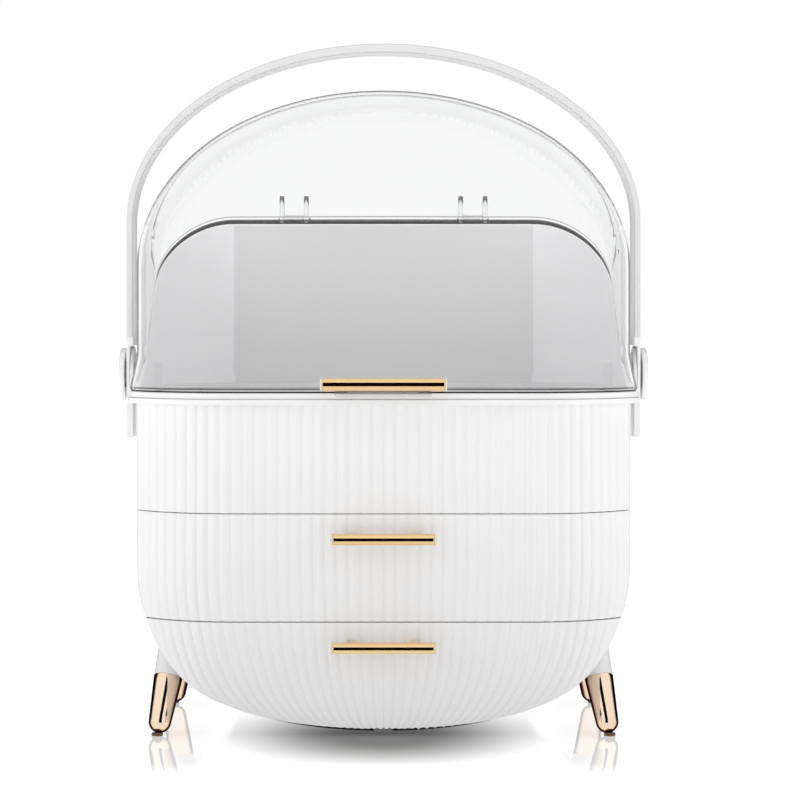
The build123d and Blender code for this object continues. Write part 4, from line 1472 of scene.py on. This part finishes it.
# ------------------------------------------------------------------ studio
@dataclass
class Studio:
    """Camera, floor, world and lamps."""

    distance: float = 1.667
    eye_height: float = 0.254
    lens: float = 135.0
    shift: Point = (0.0206, -0.14375)
    lamp_power: float = 14.0
    lamp_size: float = 1.2
    lamps: tuple[tuple[str, Color, float], ...] = (
        ("key", (-1.75, -0.85, 0.75), 0.36), ("fill", (1.75, -0.85, 0.75), 0.34),
        ("top", (0.0, 0.0, 1.9), 0.35))
    lamp_aim: Color = (0.0, 0.0, 0.18)
    world_level: float = 0.7
    world_behind: float = 0.1
    floor_half: float = 12.0
    floor_level: float = 0.6
    bounce: Point = (0.32, 1.1)
    lift: Point = (0.62, 0.34)
    mirrored: float = 0.95
    gloss: float = 0.35
    gloss_start: Point = (0.085, 0.105)
    # Strength of the painted shadow under the body.
    painted_shadow_core: float = 0.52
    front_lift: Point = (-0.15, -0.23)
    shade_middle: Point = (0.0, -0.063)
    shade_size: Point = (0.104, 0.128)
    bar_flags: tuple[tuple[float, float, float, float], ...] = (
        (-0.1313, 0.0501, 0.035, 0.0036), (-0.1313, 0.1111, 0.035, 0.0036),
        (-0.1355, 0.1995, 0.041, 0.0042))
    leg_flag: Color = (0.107, -0.17, 0.12)
    leg_flag_half: Point = (0.031, 0.14)

    def build(self) -> None:
        """Make the studio."""
        self.add_camera()
        self.add_floor()
        self.light_world()
        self.add_lamps()
        self.add_flags()

    def add_camera(self) -> None:
        """Make the camera at the photograph's viewing angle."""
        data = bpy.data.cameras.new("camera")
        data.lens = self.lens
        data.sensor_width = 36.0
        data.shift_x, data.shift_y = self.shift
        data.clip_start, data.clip_end = 0.05, 50.0
        camera = bpy.data.objects.new("camera", data)
        camera.location = (0.0, FORM.front_y * MM - self.distance, self.eye_height)
        camera.rotation_euler = (math.pi / 2, 0.0, 0.0)
        bpy.context.scene.collection.objects.link(camera)
        bpy.context.scene.camera = camera

    def add_floor(self) -> None:
        """Make the pale floor, which keeps the object's real shadow, deepened by a painted shadow
        under the body, and which glows as painted bounce light.
        """
        side = self.floor_half
        floor = new_piece("floor", [(-side, -side, 0), (side, -side, 0), (side, side, 0),
                                    (-side, side, 0)], [(0, 1, 2, 3)])
        material, tree, shader = new_material("pale_floor")
        path = tree.nodes.new("ShaderNodeLightPath").outputs
        place = object_place(tree)
        fit = add_node(tree, "ShaderNodeMapping", vector_type="TEXTURE")
        feed(tree, fit, {"Location": (*self.shade_middle, 0.0), "Scale": (*self.shade_size, 1.0),
                         "Vector": place})
        reach = add_node(tree, "ShaderNodeVectorMath", operation="LENGTH")
        reach = feed(tree, reach, {0: fit.outputs["Vector"]}).outputs["Value"]
        split = add_node(tree, "ShaderNodeSeparateXYZ", {"Vector": place}).outputs
        beside = ramp(tree, math_node(tree, "ABSOLUTE", split["X"]), self.gloss_start)
        feed(tree, shader, {
            "Base Color": (*[self.floor_level] * 3, 1.0), "Roughness": 0.0,
            "Specular IOR Level": math_node(tree, "MULTIPLY", beside, self.gloss)})
        lift = math_node(tree, "MULTIPLY", ramp(tree, reach, (0.2, 1.12)),
                         math_node(tree, "MULTIPLY_ADD", beside, self.lift[1] - self.lift[0],
                                   self.lift[0]))
        extra = math_node(tree, "ADD", ramp(tree, split["Y"], self.front_lift, (0.0, 0.6)),
                          ramp(tree, reach, (2.0, 3.4), (0.0, 0.6)))
        seen = math_node(tree, "MAXIMUM", path["Is Camera Ray"], path["Is Transmission Ray"])
        level = math_node(tree, "MULTIPLY", seen, math_node(tree, "ADD", lift, extra))
        # The floor glows for diffuse rays: painted bounce light from below.
        bounce = math_node(tree, "MULTIPLY", path["Is Diffuse Ray"],
                           ramp(tree, reach, (1.4, 4.0), self.bounce))
        # Painted shadow: for camera rays the floor goes towards black in an ellipse under the
        # body, on top of the real shadow.
        painted_shadow_core = math_node(tree, "MULTIPLY", ramp(tree, reach, (0.2, 1.0), (self.painted_shadow_core, 0.0)),
                         path["Is Camera Ray"])
        glow, shadow_black, mirrored = (
            add_node(tree, "ShaderNodeEmission", {"Strength": strength})
            for strength in (math_node(tree, "ADD", level, bounce), 0.0, self.mirrored))
        shade = mix_shader(tree, painted_shadow_core, shader, shadow_black)
        both = add_node(tree, "ShaderNodeAddShader", {0: shade.outputs[0], 1: glow.outputs[0]})
        show(tree, mix_shader(tree, path["Is Glossy Ray"], both, mirrored))
        floor.data.materials.append(material)

    def light_world(self) -> None:
        """Light the object softly, with a white background for what looks straight at it."""
        world = bpy.data.worlds.new("studio")
        bpy.context.scene.world = world
        world.use_nodes = True
        tree = world.node_tree
        path = tree.nodes.new("ShaderNodeLightPath").outputs
        split = add_node(tree, "ShaderNodeSeparateXYZ", {
            "Vector": tree.nodes.new("ShaderNodeTexCoord").outputs["Generated"]})
        behind = ramp(tree, split.outputs["Y"], (0.1, 0.4), kind="LINEAR")
        polished = math_node(tree, "SUBTRACT", path["Is Glossy Ray"], path["Is Singular Ray"])
        darker = math_node(tree, "MULTIPLY", math_node(tree, "MAXIMUM", polished, 0.0), behind)
        level = math_node(tree, "MULTIPLY_ADD", path["Is Diffuse Ray"], self.world_level - 1.0,
                          1.0)
        level = math_node(tree, "MULTIPLY_ADD", darker, self.world_behind - 1.0, level)
        back = next(n for n in tree.nodes if n.type == "BACKGROUND")
        feed(tree, back, {"Color": (1.0, 1.0, 1.0, 1.0), "Strength": level})

    def add_lamps(self) -> None:
        """Make the soft lamps."""
        for name, place, share in self.lamps:
            data = bpy.data.lights.new(name, "AREA")
            data.shape = "DISK"
            data.size = self.lamp_size
            data.energy = self.lamp_power * share
            lamp = bpy.data.objects.new(name, data)
            lamp.location = place
            lamp.visible_glossy = lamp.visible_transmission = lamp.visible_camera = False
            way = Vector(self.lamp_aim) - Vector(place)
            lamp.rotation_euler = way.to_track_quat("-Z", "Y").to_euler()
            bpy.context.scene.collection.objects.link(lamp)

    def add_flags(self) -> None:
        """Hang dark strips that only polished metal reflects: painted dark reflections on the pull
        bars and the leg caps.
        """
        material, tree, shader = new_material("reflection_strip_black")
        feed(tree, shader, {"Base Color": (0.004, 0.004, 0.004, 1.0), "Roughness": 1.0,
                            "Specular IOR Level": 0.0})
        path = tree.nodes.new("ShaderNodeLightPath").outputs
        gone = tree.nodes.new("ShaderNodeBsdfTransparent")
        show(tree, mix_shader(tree, path["Is Singular Ray"], shader, gone))
        for number, (ahead, middle, half_x, half_z) in enumerate(self.bar_flags):
            self.add_flag(f"bar_flag_{number}", (0.0, ahead, middle), (half_x, half_z), material)
        x, y, z = self.leg_flag
        for side in (-1, 1):
            self.add_flag(f"leg_flag_{side}", (side * x, y, z), self.leg_flag_half, material)

    @staticmethod
    def add_flag(name: str, middle: Color, half: Point, material: bpy.types.Material) -> None:
        """Hang one dark strip that faces the object, seen only in reflections.

        Args:
            name: Name of the strip.
            middle: Place of its middle.
            half: Half its width and half its height.
            material: Its material.
        """
        (x, y, z), (half_x, half_z) = middle, half
        flag = new_piece(name, [(x - half_x, y, z - half_z), (x + half_x, y, z - half_z),
                                (x + half_x, y, z + half_z), (x - half_x, y, z + half_z)],
                         [(3, 2, 1, 0)])
        flag.data.materials.append(material)
        flag.visible_camera = flag.visible_diffuse = flag.visible_shadow = False
        flag.visible_transmission = False


def main() -> None:
    """Build the organizer and its studio."""
    bpy.context.scene.view_settings.view_transform = "Standard"
    Studio().build()
    Body().build()
    Drawer("upper", 66.8, 126.6, 113.7).build()
    Drawer("lower", 4.0, 66.4, 53.7).build()
    Cover().build()
    Handle().build()
    Legs().build()


if __name__ == "__main__":
    main()
